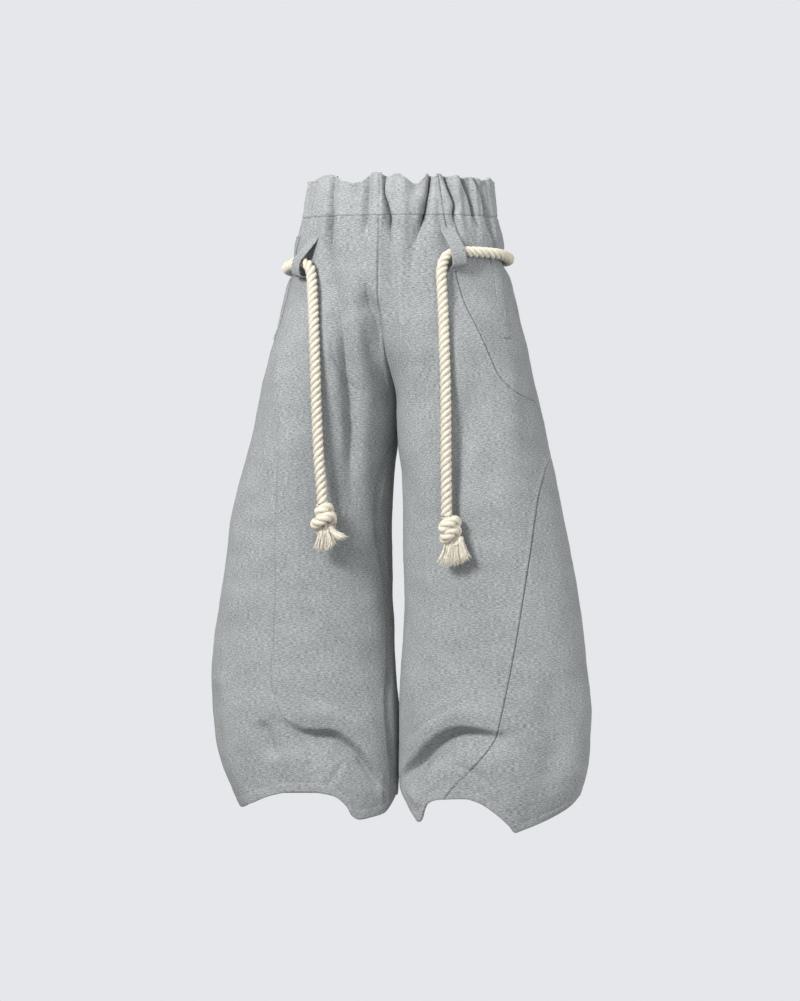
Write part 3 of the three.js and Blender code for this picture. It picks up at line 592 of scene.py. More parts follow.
clothSize = {"fleece": 2.2, "casing": 3.4, "hemFold": 3.2, "hemDepth": 15, "hemStretch": 150,
             "seamGap": 0.06, "bandFoot": -31, "crotch": -310, "footRow": -930, "parted": (-120, -75),
             "besides": (60, 120), "middleReach": 30, "lowFreedom": 0.4, "slackReach": 24,
             "levelDepth": 40, "hemSlope": 2, "sewnLift": 0.5}

# Each fold: side, lift, width, crispness, lean, whether it starts in the waistband, and its path as
# degrees round the leg and heights. A negative lift is a trough. Lean makes the slope on one side of
# the path the steeper.
foldShape = {"reach": 3.4, "sharpness": 0.5, "leanRate": 1.5, "rim": 0.12, "fadeIn": 0.3, "fadeOut": 0.4,
             "held": (110, 50), "heldWidth": 26, "piecesEach": 4}
folds = [
    # pleats drawn up by the elastic, front
    (1, -18, 4.4, 0.85, 0, True, [(3, 40), (2, 6), (4, -14), (6, -34), (6.5, -54), (8, -90)]),
    (1, -20, 5.2, 0.85, 0, True, [(32, 40), (31, 10), (29, -14), (27, -32), (24.5, -46), (20, -80)]),
    (1, -5, 9, 0.1, 0.3, True, [(31, 10), (27, -31), (21, -68), (16, -110), (8, -170)]),
    (1, -19, 5.0, 0.85, 0, True, [(41, 40), (44.5, 10), (48, -14), (46.5, -32), (48, -66)]),
    (1, -15, 5.2, 0.8, 0, True, [(52, 40), (61.5, -8), (63.5, -32), (65, -58)]),
    (1, -10, 5.5, 0.6, 0, True, [(64, 40), (75.5, -14), (77.5, -34), (77, -68), (80, -102)]),
    (1, -7, 6.5, 0.2, 0, True, [(22, 40), (22, 14), (22, -8)]),
    (-1, -14, 6.4, 0.6, 0, True, [(36, 40), (35.5, -6), (34, -28), (33.5, -52), (28.5, -98), (19, -160)]),
    (-1, -6, 5, 0.35, 0, True, [(8, 40), (7, -16), (8, -66)]),
    (-1, -7, 6, 0.35, 0, True, [(53, 40), (55, -10), (58, -80)]),
    (-1, -6, 7, 0.2, 0, True, [(15, 40), (15, 12), (15, -10)]),
    (1, 3, 9, 0.2, 0, True,
     [(13, 40), (14, -50), (12.5, -100), (4, -160), (-20, -222), (-45, -280), (-60, -340)]),
    (-1, 4, 12, 0, 0, True, [(22, 40), (22, -31), (20, -130)]),
    # pleats at the sides and the back
    (1, -9, 6, 0.4, 0, True, [(104, 40), (103, -31), (101, -120)]),
    (1, -8, 6, 0.5, 0, True, [(127, 40), (128, -31), (130, -95)]),
    (1, -10, 6, 0.4, 0, True, [(150, 40), (151, -31), (153, -140)]),
    (1, -8, 6, 0.5, 0, True, [(170, 40), (169, -31), (168, -90)]),
    (-1, -8, 6, 0.4, 0, True, [(83, 40), (85, -31), (87, -100)]),
    (-1, -9, 6, 0.4, 0, True, [(108, 40), (107, -31), (104, -130)]),
    (-1, -8, 6, 0.5, 0, True, [(131, 40), (132, -31), (133, -90)]),
    (-1, -10, 6, 0.4, 0, True, [(155, 40), (154, -31), (153, -130)]),
    # the waist drawn in by the rope
    (1, -8, 15, 0, 0, False, [(42, -84), (85, -95), (112, -101), (140, -97), (180, -85)]),
    (-1, -8, 15, 0, 0, False, [(50, -97), (85, -111), (112, -109), (140, -99), (180, -85)]),
    # hollows beside the front rise
    (1, -5, 16, 0.1, 0, False, [(28, -150), (6, -230), (-20, -300), (-40, -370)]),
    (1, -8, 9, 0.1, 0.5, False,
     [(6, -58), (6.5, -100), (1, -146), (-13.5, -192), (-29.5, -236), (-47, -290)]),
    (-1, -21, 11, 0.35, -0.4, False,
     [(4, -112), (-1, -144), (-7, -164), (-20, -188), (-29.5, -206), (-46.5, -242), (-58, -268),
      (-68.5, -298), (-76, -345)]),
    # long slack folds in the thighs
    (-1, -19, 13, 0.3, 0, False,
     [(34, -72), (24.5, -128), (8, -176), (-11, -220), (-27, -266), (-35, -312), (-40, -372), (-43, -434),
      (-46, -510)]),
    (-1, 5, 20, 0, 0, False, [(46, -200), (22, -330), (2, -450), (-12, -560)]),
    (1, -6, 20, 0, 0, False, [(38, -240), (14, -350), (-10, -460), (-38, -560)]),
    (1, 4, 22, 0, 0, False, [(60, -240), (44, -400), (30, -560)]),
    # break above the left hem
    (1, -23, 14.5, 0.3, 0.6, False,
     [(-84, -912), (-68, -888), (-50, -869), (-35, -846), (-24, -829), (-14, -819), (-4, -819), (6, -823),
      (16, -822), (34, -806)]),
    (1, 3.5, 16, 0, 0, False, [(-62, -846), (-44, -830), (-30, -806), (-14, -789), (4, -786), (24, -782)]),
    (1, -7, 7, 0.35, 0, False, [(-40, -858), (-45, -886), (-53, -906)]),
    (1, -9, 22, 0, 0, False, [(40, -740), (47, -812), (48, -856), (38, -900)]),
    # break above the right hem
    (-1, -22, 14.5, 0.3, 0.6, False,
     [(-82, -930), (-64, -905), (-51, -876), (-44, -856), (-35, -838), (-27, -826), (-17, -825), (-8, -822),
      (2, -808), (18, -790)]),
    (-1, 3.5, 16, 0, 0, False, [(-58, -846), (-46, -816), (-32, -794), (-14, -790), (4, -772)]),
    (-1, -8, 10, 0.1, 0, False, [(18, -800), (14, -830), (12, -866)]),
    (-1, 3, 8, 0.1, 0, False, [(-38, -840), (-44, -862), (-49, -882), (-59, -902)]),
    (-1, -5, 18, 0, 0, False, [(60, -740), (62, -800), (56, -860)]),
    # the same slack on the back of the legs
    (1, -9, 15, 0.1, 0, False, [(240, -350), (205, -390), (168, -400), (140, -370)]),
    (-1, -9, 15, 0.1, 0, False, [(240, -360), (208, -396), (170, -402), (138, -380)]),
    (1, -7, 20, 0, 0, False, [(232, -460), (210, -540), (196, -640)]),
    (-1, -7, 20, 0, 0, False, [(228, -450), (206, -540), (190, -650)]),
    (1, -12, 12, 0.25, -0.5, False, [(246, -846), (220, -822), (190, -818), (160, -830), (140, -812)]),
    (-1, -12, 12, 0.25, -0.5, False, [(244, -850), (216, -824), (186, -822), (156, -836), (134, -816)]),
    (1, -7, 16, 0.1, 0, False, [(120, -760), (116, -830), (122, -890)]),
    (-1, -7, 16, 0.1, 0, False, [(118, -750), (114, -830), (120, -884)]),
    # small creases at the crotch, the knees and beside the breaks
    (-1, -3, 4, 0.5, 0, False, [(4, -200), (-12, -248), (-34, -286), (-50, -310)]),
    (1, -2.5, 5, 0.3, 0, False, [(8, -262), (-10, -300), (-30, -340)]),
    (-1, -2.5, 6, 0.2, 0, False, [(-20, -300), (-38, -352), (-52, -420)]),
    (1, -2, 7, 0.2, 0, False, [(-8, -770), (-34, -800), (-58, -836)]),
    (-1, -2, 7, 0.2, 0, False, [(-14, -762), (-36, -786), (-58, -820)]),
    (1, -2, 5, 0.3, 0, False, [(-20, -862), (0, -880), (12, -906)]),
    (-1, -2.5, 5, 0.3, 0, False, [(-34, -862), (-26, -884), (-20, -905)]),
    (1, 2.5, 7, 0, 0, False, [(-60, -905), (-50, -918), (-40, -930)]),
    (-1, 3, 6, 0, 0, False, [(-62, -880), (-64, -905), (-66, -930)]),
    (-1, -2, 8, 0.2, 0, False, [(80, -560), (90, -620), (94, -700)]),
    (1, -3, 6, 0.3, 0, False, [(215, -300), (190, -345), (170, -372)]),
    (-1, -3, 6, 0.3, 0, False, [(212, -305), (192, -350), (168, -380)]),
]


def section(side, height):
    name = "Left" if side > 0 else "Right"
    outer = through(sections["height"], sections["outer" + name], height)
    inner = through(sections["height"], sections["inner" + name], height)
    parted, joined = clothSize["parted"]
    centre = (outer + inner) / 2 * (1 - ease(parted, joined, height))
    radius = outer - centre
    front = through(sections["height"], sections["front"], height)
    back = through(sections["height"], sections["back"], height)
    start = -np.degrees(np.arcsin(np.minimum(1, centre / radius)))
    return centre, radius, front, back, start


def girth(angle, height, side, ownSide=True):  # distance round the leg from its front
    _, radius, front, back, start = section(side, height)
    middle = np.where(angle < 90, start, 180 - start)
    around = angle if ownSide else 2 * middle - angle
    depth = front + (back - front) * ease(*clothSize["besides"], angle)
    return np.radians(around) * (radius + depth) / 2


def roundedLine(points, count):
    p = np.array(points, float)
    p = np.vstack([p[0], p, p[-1]])
    at = np.linspace(0, len(points) - 1, count)
    i = np.minimum(at.astype(int), len(points) - 2)
    t = (at - i)[:, None]
    a, b, c, d = p[i], p[i + 1], p[i + 2], p[i + 3]
    return b + t * ((c - a) / 2 + t * ((2 * a - 5 * b + 4 * c - d) / 2 + t * ((3 * b - a - 3 * c + d) / 2)))


foldLines = []
for side, lift, width, crisp, lean, fromBand, path in folds:
    angles, heights = np.array(path, float).T
    line = np.column_stack([girth(angles, heights, side), heights])
    pointCount = foldShape["piecesEach"] * len(path) + 1
    foldLines.append((side, lift, width, crisp, lean, fromBand, roundedLine(line, pointCount)))


def foldLift(side, angle, height):
    _, radius, _, _, start = section(side, height)
    fromSeam = np.radians(np.minimum(angle - start, 180 - start - angle)) * radius
    held = ease(*foldShape["held"], height - clothSize["crotch"])  # by the inseam, down the leg
    hold = 1 - held + held * ease(0, foldShape["heldWidth"], fromSeam)
    own, other = girth(angle, height, side), girth(angle, height, side, False)
    total = np.zeros(np.shape(height))
    for foldSide, lift, width, crisp, lean, fromBand, line in foldLines:
        reach = foldShape["reach"] * width
        along = own if foldSide == side else other
        low, high = line.min(axis=0) - reach, line.max(axis=0) + reach
        near = (along > low[0]) & (along < high[0]) & (height > low[1]) & (height < high[1])
        if foldSide != side:
            near &= height > clothSize["crotch"]
        if not near.any():
            continue
        x, y = along[near], height[near]
        best, place, above = np.full(x.shape, reach), np.zeros(x.shape), np.zeros(x.shape)
        for i in range(len(line) - 1):
            (ax, ay), (rx, ry) = line[i], line[i + 1] - line[i]
            t = np.clip(((x - ax) * rx + (y - ay) * ry) / (rx * rx + ry * ry), 0, 1)
            gap = np.hypot(x - ax - t * rx, y - ay - t * ry)
            closer = gap < best
            best = np.where(closer, gap, best)
            place = np.where(closer, (i + t) / (len(line) - 1), place)
            above = np.where(closer, (rx * (y - ay) - ry * (x - ax)) / math.hypot(rx, ry), above)
        slope = width * (1 - lean * np.tanh(above / width * foldShape["leanRate"]))
        crease = np.exp(-best / (foldShape["sharpness"] * slope))
        shape = (1 - crisp) * np.exp(-((best / slope) ** 2)) + crisp * crease
        shape *= ease(0, foldShape["rim"], 1 - best / reach)
        fade = ease(0, foldShape["fadeOut"], 1 - place)
        fade = fade if fromBand else fade * ease(0, foldShape["fadeIn"], place)
        total[near] += lift * shape * fade
    return total * hold


def aroundWaist(side, angle, height):  # signed turn round the body, in radians
    start = section(side, height)[4]
    return side * np.pi * (angle - start) / (180 - 2 * start)


gatherWaves = columns(
    ("size", "count", "sway", "swayCount", "swayStart", "low", "high"),
    [
        (1.8, 24, 1.5, 3, 0.8, -135, -25), (1.1, 47, 2.2, 5, 0, -80, -30),
        (2.4, 17, 1.7, 4, 1.1, -2, 36),
    ],
)


def gathers(side, angle, height):  # small waves drawn up by the elastic, growing from low to high
    turn = aroundWaist(side, angle, height)
    total = 0
    for size, count, sway, swayCount, swayStart, low, high in zip(*gatherWaves.values()):
        wave = np.sin(count * turn + sway * np.sin(swayCount * turn + swayStart))
        total = total + size * wave * ease(low, high, height)
    return total


def hemHeight(side, angle):
    return through(hems[side]["angle"], hems[side]["height"], angle)


def perDegree(side, angle, height):  # millimetres along the cloth
    _, radius, front, back, _ = section(side, height)
    turn = np.radians(angle)
    depth = np.where(np.cos(turn) > 0, front, back)
    return np.radians(np.hypot(radius * np.cos(turn), depth * np.sin(turn)))


def pucker(run, height, seam):  # small waves along a seam
    across, up = seam["stretch"]
    return seam["pucker"] * wander(run * across, height * up, seam["wave"], seam["seed"])


barrelSeam = {"lap": 0.85, "lapFrom": 1.4, "lapTo": (5.4, 7.6), "sunk": {1: 2.1, -1: 0.6}, "width": 1.1,
              "stitch": 0.35, "stitchIn": 5.6, "stitchWidth": 0.7, "slopeReach": 4,
              "pucker": 0.22, "stretch": (0.3, 1), "wave": 17, "seed": 31, "puckerReach": 9}


def barrelSeamRelief(side, angle, height, run):  # one panel lapped over the other and stitched
    def seamAt(level):
        return through(barrelSeams["height"], barrelSeams[side], level)

    scale = perDegree(side, angle, height)
    reach = barrelSeam["slopeReach"]
    steep = (seamAt(height + reach) - seamAt(height - reach)) / (2 * reach) * scale
    across = (angle - seamAt(height)) * scale / np.sqrt(1 + steep**2)
    lap = ease(0, barrelSeam["lapFrom"], -across) * (1 - ease(*barrelSeam["lapTo"], -across))
    relief = barrelSeam["lap"] * lap - barrelSeam["sunk"][side] * bump(0, barrelSeam["width"], across)
    relief -= barrelSeam["stitch"] * bump(-barrelSeam["stitchIn"], barrelSeam["stitchWidth"], across)
    return relief + pucker(run, height, barrelSeam) * np.exp(-np.abs(across) / barrelSeam["puckerReach"])


riseSeam = {"sunk": 2.8, "width": 1.7, "lap": {1: 0.5, -1: 0}, "lapFrom": 1.6, "lapTo": (5.4, 7.4),
            "pucker": 0.3, "stretch": (0.2, 1), "wave": 15, "seed": 47, "puckerReach": 8}


def riseRelief(side, angle, height, run):  # the rise and the inseam, at the front and the back edge
    start = section(side, height)[4]
    frontEdge = (angle - start) * perDegree(side, start, height)
    backEdge = (180 - start - angle) * perDegree(side, 180 - start, height)
    puckered = np.where(height > clothSize["crotch"], pucker(run, height, riseSeam), 0)
    relief = 0
    for distance in (frontEdge, backEdge):
        relief = relief - riseSeam["sunk"] * bump(0, riseSeam["width"], distance)
        relief += puckered * np.exp(-distance / riseSeam["puckerReach"])
        lap = ease(0, riseSeam["lapFrom"], distance) * (1 - ease(*riseSeam["lapTo"], distance))
        relief += riseSeam["lap"][side] * lap
    return relief


turnedInseam = {"step": 6.0, "edge": (-1.5, 2.0), "slope": (3, 22), "top": (-385, -350), "foot": (-930, -910)}


def turnedInseamRelief(side, angle, height):  # a step down towards the inseam, easing out again
    if side > 0:  # the wearer's left inseam isn't turned forward
        return 0
    line = through(inseamLine["height"], inseamLine["angle"], height)
    beyond = (line - angle) * perDegree(side, angle, height)
    shown = (1 - ease(*turnedInseam["top"], height)) * ease(*turnedInseam["foot"], height)
    step = ease(*turnedInseam["edge"], beyond) * (1 - ease(*turnedInseam["slope"], beyond))
    return -shown * turnedInseam["step"] * step


hemSeam = {"stitch": 0.55, "stitchWidth": 1.3, "double": 0.45, "doubleTo": (10, 17), "edge": 0.9,
           "edgeWidth": 1.2, "pucker": 0.35, "stretch": (1, 1), "wave": 21, "seed": 13, "puckerReach": 12}


def hemRelief(side, angle, height, run):  # the turned-up hem and its stitch line
    fromHem = height - hemHeight(side, angle)
    relief = pucker(run, height, hemSeam) * bump(clothSize["hemDepth"], hemSeam["puckerReach"], fromHem)
    relief -= hemSeam["stitch"] * bump(clothSize["hemDepth"], hemSeam["stitchWidth"], fromHem)
    relief += hemSeam["double"] * (1 - ease(*hemSeam["doubleTo"], fromHem))
    return relief - hemSeam["edge"] * bump(0, hemSeam["edgeWidth"], fromHem)


bandSeam = {"sunk": 1.2, "width": 1.6, "below": 0.6, "above": 0.35,
            "pucker": 1, "stretch": (1, 0.4), "wave": 12, "seed": 3, "puckerReach": 10}


def bandSeamRelief(height, run):  # where the panels are gathered into the waistband
    below = clothSize["bandFoot"] - height
    puckered = pucker(run, height, bandSeam) * np.exp(-np.abs(below) / bandSeam["puckerReach"])
    puckered = puckered * np.where(below > 0, bandSeam["below"], bandSeam["above"])
    return puckered - bandSeam["sunk"] * bump(0, bandSeam["width"], below)


def seamRelief(side, angle, height):  # all the seams and the hem, with their puckers
    run = girth(angle, height, side)
    relief = barrelSeamRelief(side, angle, height, run) + riseRelief(side, angle, height, run)
    relief = relief + turnedInseamRelief(side, angle, height) + hemRelief(side, angle, height, run)
    return relief + bandSeamRelief(height, run)


slackWaves = {"broad": (1.5, 0.6, 120, 21), "middling": (0.55, 0.8, 46, 8), "small": (0.16, 1, 19, 77)}
slackPlace = {"legShift": 400, "broadBelow": (20, 80)}


def slack(side, angle, height):  # wide soft unevenness of hanging fleece
    run = girth(angle, height, side) + slackPlace["legShift"] * side

    def waves(kind):
        size, stretch, wave, seed = slackWaves[kind]
        return size * wander(run, height * stretch, wave, seed)

    below = ease(*slackPlace["broadBelow"], clothSize["bandFoot"] - height)
    return waves("broad") * below + waves("middling") + waves("small")


def clothPoint(side, angle, height, relief=True):
    angle, height = np.broadcast_arrays(np.asarray(angle, float), np.asarray(height, float))
    centre, radius, front, back, start = section(side, height)
    turn = np.radians(angle)
    depth = np.where(np.cos(turn) > 0, front, back)
    x = centre + radius * np.sin(turn)
    y = -depth * np.cos(turn)
    outX, outY = depth * np.sin(turn), -radius * np.cos(turn)
    size = np.hypot(outX, outY)
    lift = foldLift(side, angle, height) + gathers(side, angle, height)
    fromSeam = np.radians(np.minimum(angle - start, 180 - start - angle)) * radius
    lift = lift + slack(side, angle, height) * ease(0, clothSize["slackReach"], fromSeam)
    if relief:
        lift = lift + seamRelief(side, angle, height)
    beside = ease(0, clothSize["middleReach"], x)
    low = clothSize["lowFreedom"]
    free = np.where(height < clothSize["crotch"], low + (1 - low) * beside, beside)
    return np.stack([side * (x + outX / size * lift * free), y + outY / size * lift, height], axis=-1)


def levelled(normal, height):  # normals turned level at the waistband's foot
    normal[..., 2] *= ease(0, clothSize["levelDepth"], clothSize["bandFoot"] - height)
    return normal / np.linalg.norm(normal, axis=-1, keepdims=True)


def clothNormal(side, angle, height, reach=0.6, rise=2):
    def between(first, second):
        return clothPoint(side, *second, False) - clothPoint(side, *first, False)

    across = between((angle - reach, height), (angle + reach, height))
    up = between((angle, height - rise), (angle, height + rise))
    normal = side * np.cross(across, up)
    return levelled(normal / np.linalg.norm(normal, axis=-1, keepdims=True), height)


def gridNormals(grid, side, ring=False):
    if ring:
        across = np.roll(grid, -1, axis=1) - np.roll(grid, 1, axis=1)
    else:
        across = np.gradient(grid, axis=1)
    up = -np.gradient(grid, axis=0)
    normal = side * np.cross(across, up)
    return normal / np.linalg.norm(normal, axis=-1, keepdims=True)


def wallMesh(name, outer, inner, uv, ring=False):  # a closed wall between two matching grids
    rows, columns = outer.shape[:2]
    half = rows * columns
    last = columns if ring else columns - 1
    r, c = (part.ravel() for part in np.meshgrid(np.arange(rows - 1), np.arange(last), indexing="ij"))
    quads, uvs = [], []

    def add(*corners):  # each corner: rows, columns, and whether on the inner face
        ids = [row * columns + col % columns + half * inside for row, col, inside in corners]
        quads.append(np.column_stack(ids))
        uvs.append(np.stack([uv[row, col] for row, col, inside in corners], axis=1))

    add((r, c, 0), (r, c + 1, 0), (r + 1, c + 1, 0), (r + 1, c, 0))
    add((r, c, 1), (r + 1, c, 1), (r + 1, c + 1, 1), (r, c + 1, 1))
    c = np.arange(last)
    top, foot = np.zeros(last, int), np.full(last, rows - 1)
    add((top, c + 1, 0), (top, c, 0), (top, c, 1), (top, c + 1, 1))
    add((foot, c, 0), (foot, c + 1, 0), (foot, c + 1, 1), (foot, c, 1))
    if not ring:
        r = np.arange(rows - 1)
        left, right = np.zeros(rows - 1, int), np.full(rows - 1, last)
        add((r, left, 0), (r + 1, left, 0), (r + 1, left, 1), (r, left, 1))
        add((r + 1, right, 0), (r, right, 0), (r, right, 1), (r + 1, right, 1))
    points = np.concatenate([outer.reshape(-1, 3), inner.reshape(-1, 3)])
    return meshObject(name, points, np.vstack(quads), np.vstack(uvs))


panels = {
    "front": {"columns": 116, "flat": {1: (0.36, 0.94), -1: (0.30, 0.93)}, "area": {1: 0.235, -1: 0.178},
              "patternShift": 0},
    "back": {"columns": 132, "flat": {1: (0.56, 0.95), -1: (0.60, 0.94)}, "area": {1: 0.395, -1: 0.445},
             "patternShift": 330},
}
legPatternShift = 900
edgeSteps = np.array([0, 0.5, 1.1, 1.9, 3.0, 4.3, 5.6, 6.6, 7.8, 9.4])
rowSpacing = [(-31, 1.5), (-60, 1.8), (-110, 3.0), (-300, 3.2), (-720, 3.6), (-790, 2.0), (-930, 1.8)]
lastRows = (5.5, 4.2, 3.0, 1.9, 1.1, 0.5, 0)  # closer towards the hem's edge
lastRowsFrom = 8


def rowHeights():
    rows = [clothSize["bandFoot"] - clothSize["seamGap"] / 2]
    keys, gaps = zip(*rowSpacing)
    while rows[-1] > clothSize["footRow"] + lastRowsFrom:
        rows.append(rows[-1] - float(np.interp(-rows[-1], [-k for k in keys], gaps)))
    return np.array(rows + [clothSize["footRow"] + rest for rest in lastRows])


def riseAngle(side, height):
    centre, radius = section(side, height)[:2]
    reach = np.minimum(1, (centre - clothSize["seamGap"] / 2) / radius)
    start = -np.degrees(np.arcsin(reach))
    return start + np.where(reach == 1, clothSize["seamGap"] / 2 / perDegree(side, -90.0, height), 0)


def seamAngle(side, height, towards):  # the barrel seam's edge on one of its sides
    seam = through(barrelSeams["height"], barrelSeams[side], height)
    above = through(barrelSeams["height"], barrelSeams[side], height + 1)
    below = through(barrelSeams["height"], barrelSeams[side], height - 1)
    scale = perDegree(side, seam, height)
    slant = np.hypot(1, (above - below) / 2 * scale)  # the gap is measured across the seam
    return seam + towards * clothSize["seamGap"] / 2 * slant / scale


def panelGrid(side, part):
    rows = rowHeights()
    if part == "front":
        fromAngle, toAngle = riseAngle(side, rows), seamAngle(side, rows, -1)
    else:
        fromAngle, toAngle = seamAngle(side, rows, 1), 180 - riseAngle(side, rows)
    share = np.linspace(0, 1, 241)  # fine enough to measure along the cloth
    fine = fromAngle[:, None] + (toAngle - fromAngle)[:, None] * share
    plain = perDegree(side, fine, rows[:, None]) * (fine[:, 1:2] - fine[:, 0:1])
    steps = (plain[:, 1:] + plain[:, :-1]) / 2
    run = np.concatenate([np.zeros((len(rows), 1)), np.cumsum(steps, axis=1)], axis=1)
    count = panels[part]["columns"]
    angles = []
    for line, arc in zip(fine, run):
        width = arc[-1]
        middle = np.linspace(edgeSteps[-1], width - edgeSteps[-1], count)
        at = np.concatenate([edgeSteps[:-1], middle, width - edgeSteps[-2::-1]])
        angles.append(np.interp(at, arc, line))
    angles = np.array(angles)
    share = ease(clothSize["hemStretch"], 0, rows - clothSize["footRow"])[:, None]
    heights = rows[:, None] + (hemHeight(side, angles) - clothSize["footRow"]) * share
    return angles, heights


def legPanel(side, part):
    angles, heights = panelGrid(side, part)
    outer = clothPoint(side, angles, heights)
    normal = levelled(gridNormals(clothPoint(side, angles, heights, False), side), heights)
    stitched, slope = clothSize["hemDepth"], clothSize["hemSlope"]
    single = ease(stitched - slope, stitched + slope, heights - hemHeight(side, angles))
    wall = clothSize["fleece"] + (clothSize["hemFold"] - clothSize["fleece"]) * (1 - single)
    inner = outer - normal * wall[..., None]
    u = girth(angles, heights, side) + panels[part]["patternShift"] + legPatternShift * side
    uv = np.stack([u, heights], axis=-1) * mm
    name = part + ("_left" if side > 0 else "_right")
    piece = wallMesh(name + "_fleece", outer, inner, uv)
    dress(piece, fleece, "fleece_grey", name)


for side in (1, -1):
    for part in ("front", "back"):
        legPanel(side, part)
print("leg panels hung")


band = {"columns": 760, "rows": 44, "edgeShares": [0, 0.008, 0.02, 0.035], "radius": 135, "height": 66,
        "puff": 0.8, "roll": 0.45, "channel": 0.5, "channelDepth": 5, "channelWidth": 1.4,
        "flat": (0.98, 0.07), "area": 0.0686}


def sideAndAngle(turn):  # degrees round the body, from the front over the wearer's left
    turn = (np.asarray(turn, float) + 180) % 360 - 180
    return np.where(turn < 0, -1, 1), np.abs(turn)


def roundPoint(turn, height, relief=True):
    side, angle = sideAndAngle(turn)
    left = clothPoint(1, angle, height, relief)
    right = clothPoint(-1, angle, height, relief)
    return np.where(side[..., None] > 0, left, right)


def waistband():
    turns = -180 + 360 * (np.arange(band["columns"]) + 0.5) / band["columns"]
    share = np.concatenate([band["edgeShares"], np.linspace(0, 1, band["rows"])[2:]])[:, None]
    foot = clothSize["bandFoot"] + clothSize["seamGap"] / 2
    top = through(bandTops["angle"], bandTops["height"], turns)
    heights = foot + (top - foot) * (1 - share)
    outer = roundPoint(turns + 0 * heights, heights)
    normal = gridNormals(outer, 1, ring=True)
    normal[..., 2] = 0
    normal /= np.linalg.norm(normal, axis=-1, keepdims=True)
    across = clothSize["casing"]
    fromTop = top - heights
    near = np.clip(fromTop / (across / 2), 0, 1)
    roll = across * band["roll"] * (1 - np.sqrt(1 - (1 - near) ** 2))[..., None]
    puff = band["puff"] * np.sin(math.pi * share)[..., None]
    channel = band["channel"] * bump(band["channelDepth"], band["channelWidth"], fromTop)[..., None]
    inner = outer - normal * (across - roll)
    outer = outer - normal * (roll + channel - puff)
    run = np.radians(np.arange(band["columns"] + 1) * 360 / band["columns"]) * band["radius"]
    level = foot + band["height"] * (1 - share)
    uv = np.stack(np.broadcast_arrays(run, level), axis=-1) * mm
    piece = wallMesh("waistband_fleece", outer, inner, uv, ring=True)
    dress(piece, bandFleece, "band_grey", "waistband")


waistband()
print("waistband gathered")


beltLoops = {
    "belt_loop_left": {"angle": 41.4, "lean": 0.8, "rope": (-91, -88)},
    "belt_loop_right": {"angle": -44.5, "lean": 0, "rope": (-101, -103)},
    "belt_loop_back": {"angle": 180, "lean": 0, "rope": (-85, -85)},
}
loopSize = {"width": 24, "thickness": 2.0, "edge": 0.5, "girth": 11.2, "ropeLie": 10, "turns": (44, 20, -5),
            "columns": 24, "step": 1.1, "rim": 0.14, "leanOver": (5, 38), "freeFrom": (0.5, 5),
            "patternShift": 40}
overRope = [(loopSize["girth"] * math.sin(math.radians(turn)),
             loopSize["ropeLie"] + loopSize["girth"] * math.cos(math.radians(turn)))
            for turn in loopSize["turns"]]
# the strap from the side, as heights over the rope's middle and distances out from the cloth
loopSide = [(40, 0), (34, 1), *overRope, (-10, 20), (-17, 17), (-20, 10), (-19.5, 3), (-22, 0), (-27, 0)]


def beltLoop(name):  # a strap sewn down at both ends, straight out over the rope and back
    place = beltLoops[name]
    profile = smoothRoute([(height, out, 0) for height, out in loopSide], loopSize["step"])
    rise, out = profile[:, :1], profile[:, 1:2]
    before, after = place["rope"]
    rope = (before + after) / 2
    run = np.linspace(-1, 1, loopSize["columns"])
    side, angle = sideAndAngle(place["angle"])
    perTurn = perDegree(int(side), float(angle), rope)
    middle = place["angle"] - place["lean"] * ease(*loopSize["leanOver"], rise)
    turns = middle + run * loopSize["width"] / 2 / perTurn
    heights = rope + (after - before) / 2 * run + rise
    turn = math.radians(place["angle"])
    outward = np.array([math.sin(turn), -math.cos(turn), 0])
    onCloth = roundPoint(turns, heights, False)
    level = onCloth @ outward
    free = ease(*loopSize["freeFrom"], out)  # where the strap has left the cloth it spans its folds
    lift = (level.mean(axis=1, keepdims=True) - level) * free + clothSize["sewnLift"] + out
    inner = onCloth + outward * lift[..., None]
    normal = np.cross(np.gradient(inner, axis=1), np.gradient(inner, axis=0))
    normal *= np.sign((normal @ outward).sum()) / np.linalg.norm(normal, axis=-1, keepdims=True)
    rim = np.minimum(1, (1 - np.abs(run)) / loopSize["rim"])
    edge = loopSize["edge"]
    thickness = loopSize["thickness"] * (edge + (1 - edge) * np.sqrt(rim * (2 - rim)))
    outer = inner + normal * thickness[:, None]
    length = np.concatenate([[0], np.cumsum(np.linalg.norm(np.diff(profile, axis=0), axis=1))])
    across = run * loopSize["width"] / 2 + loopSize["patternShift"]
    uv = np.stack(np.broadcast_arrays(across, -length[:, None]), axis=-1) * mm
    piece = wallMesh(name + "_fleece", outer, inner, uv)
    dress(piece, fleece, "fleece_grey", name)


for name in beltLoops:
    beltLoop(name)
print("belt loops sewn on")


welt = {"width": 17, "top": -58, "foot": -218, "thickness": 1.5, "least": 0.35, "rows": 130, "edge": 1.2,
        "edgeColumns": [1, 0.97, 0.9, 0.82, 0.76, 0.7, 0.64, 0.56], "middleColumns": 7, "innermost": 0.42,
        "stitch": 1.5, "stitchAt": 0.7, "stitchWidth": 0.07, "tack": 1.2, "tackTop": 5, "tackTopWidth": 1.5,
        "tackFoot": 18, "tackFootWidth": 1.3, "round": 3, "rimSharpness": 8, "edgeRise": (0.2, 0.9),
        "seat": 0.1, "patternShift": 200}
weltLine = columns(("height", "angle"), [(-58, 69), (-105, 74), (-150, 71.5), (-218, 66.5)])


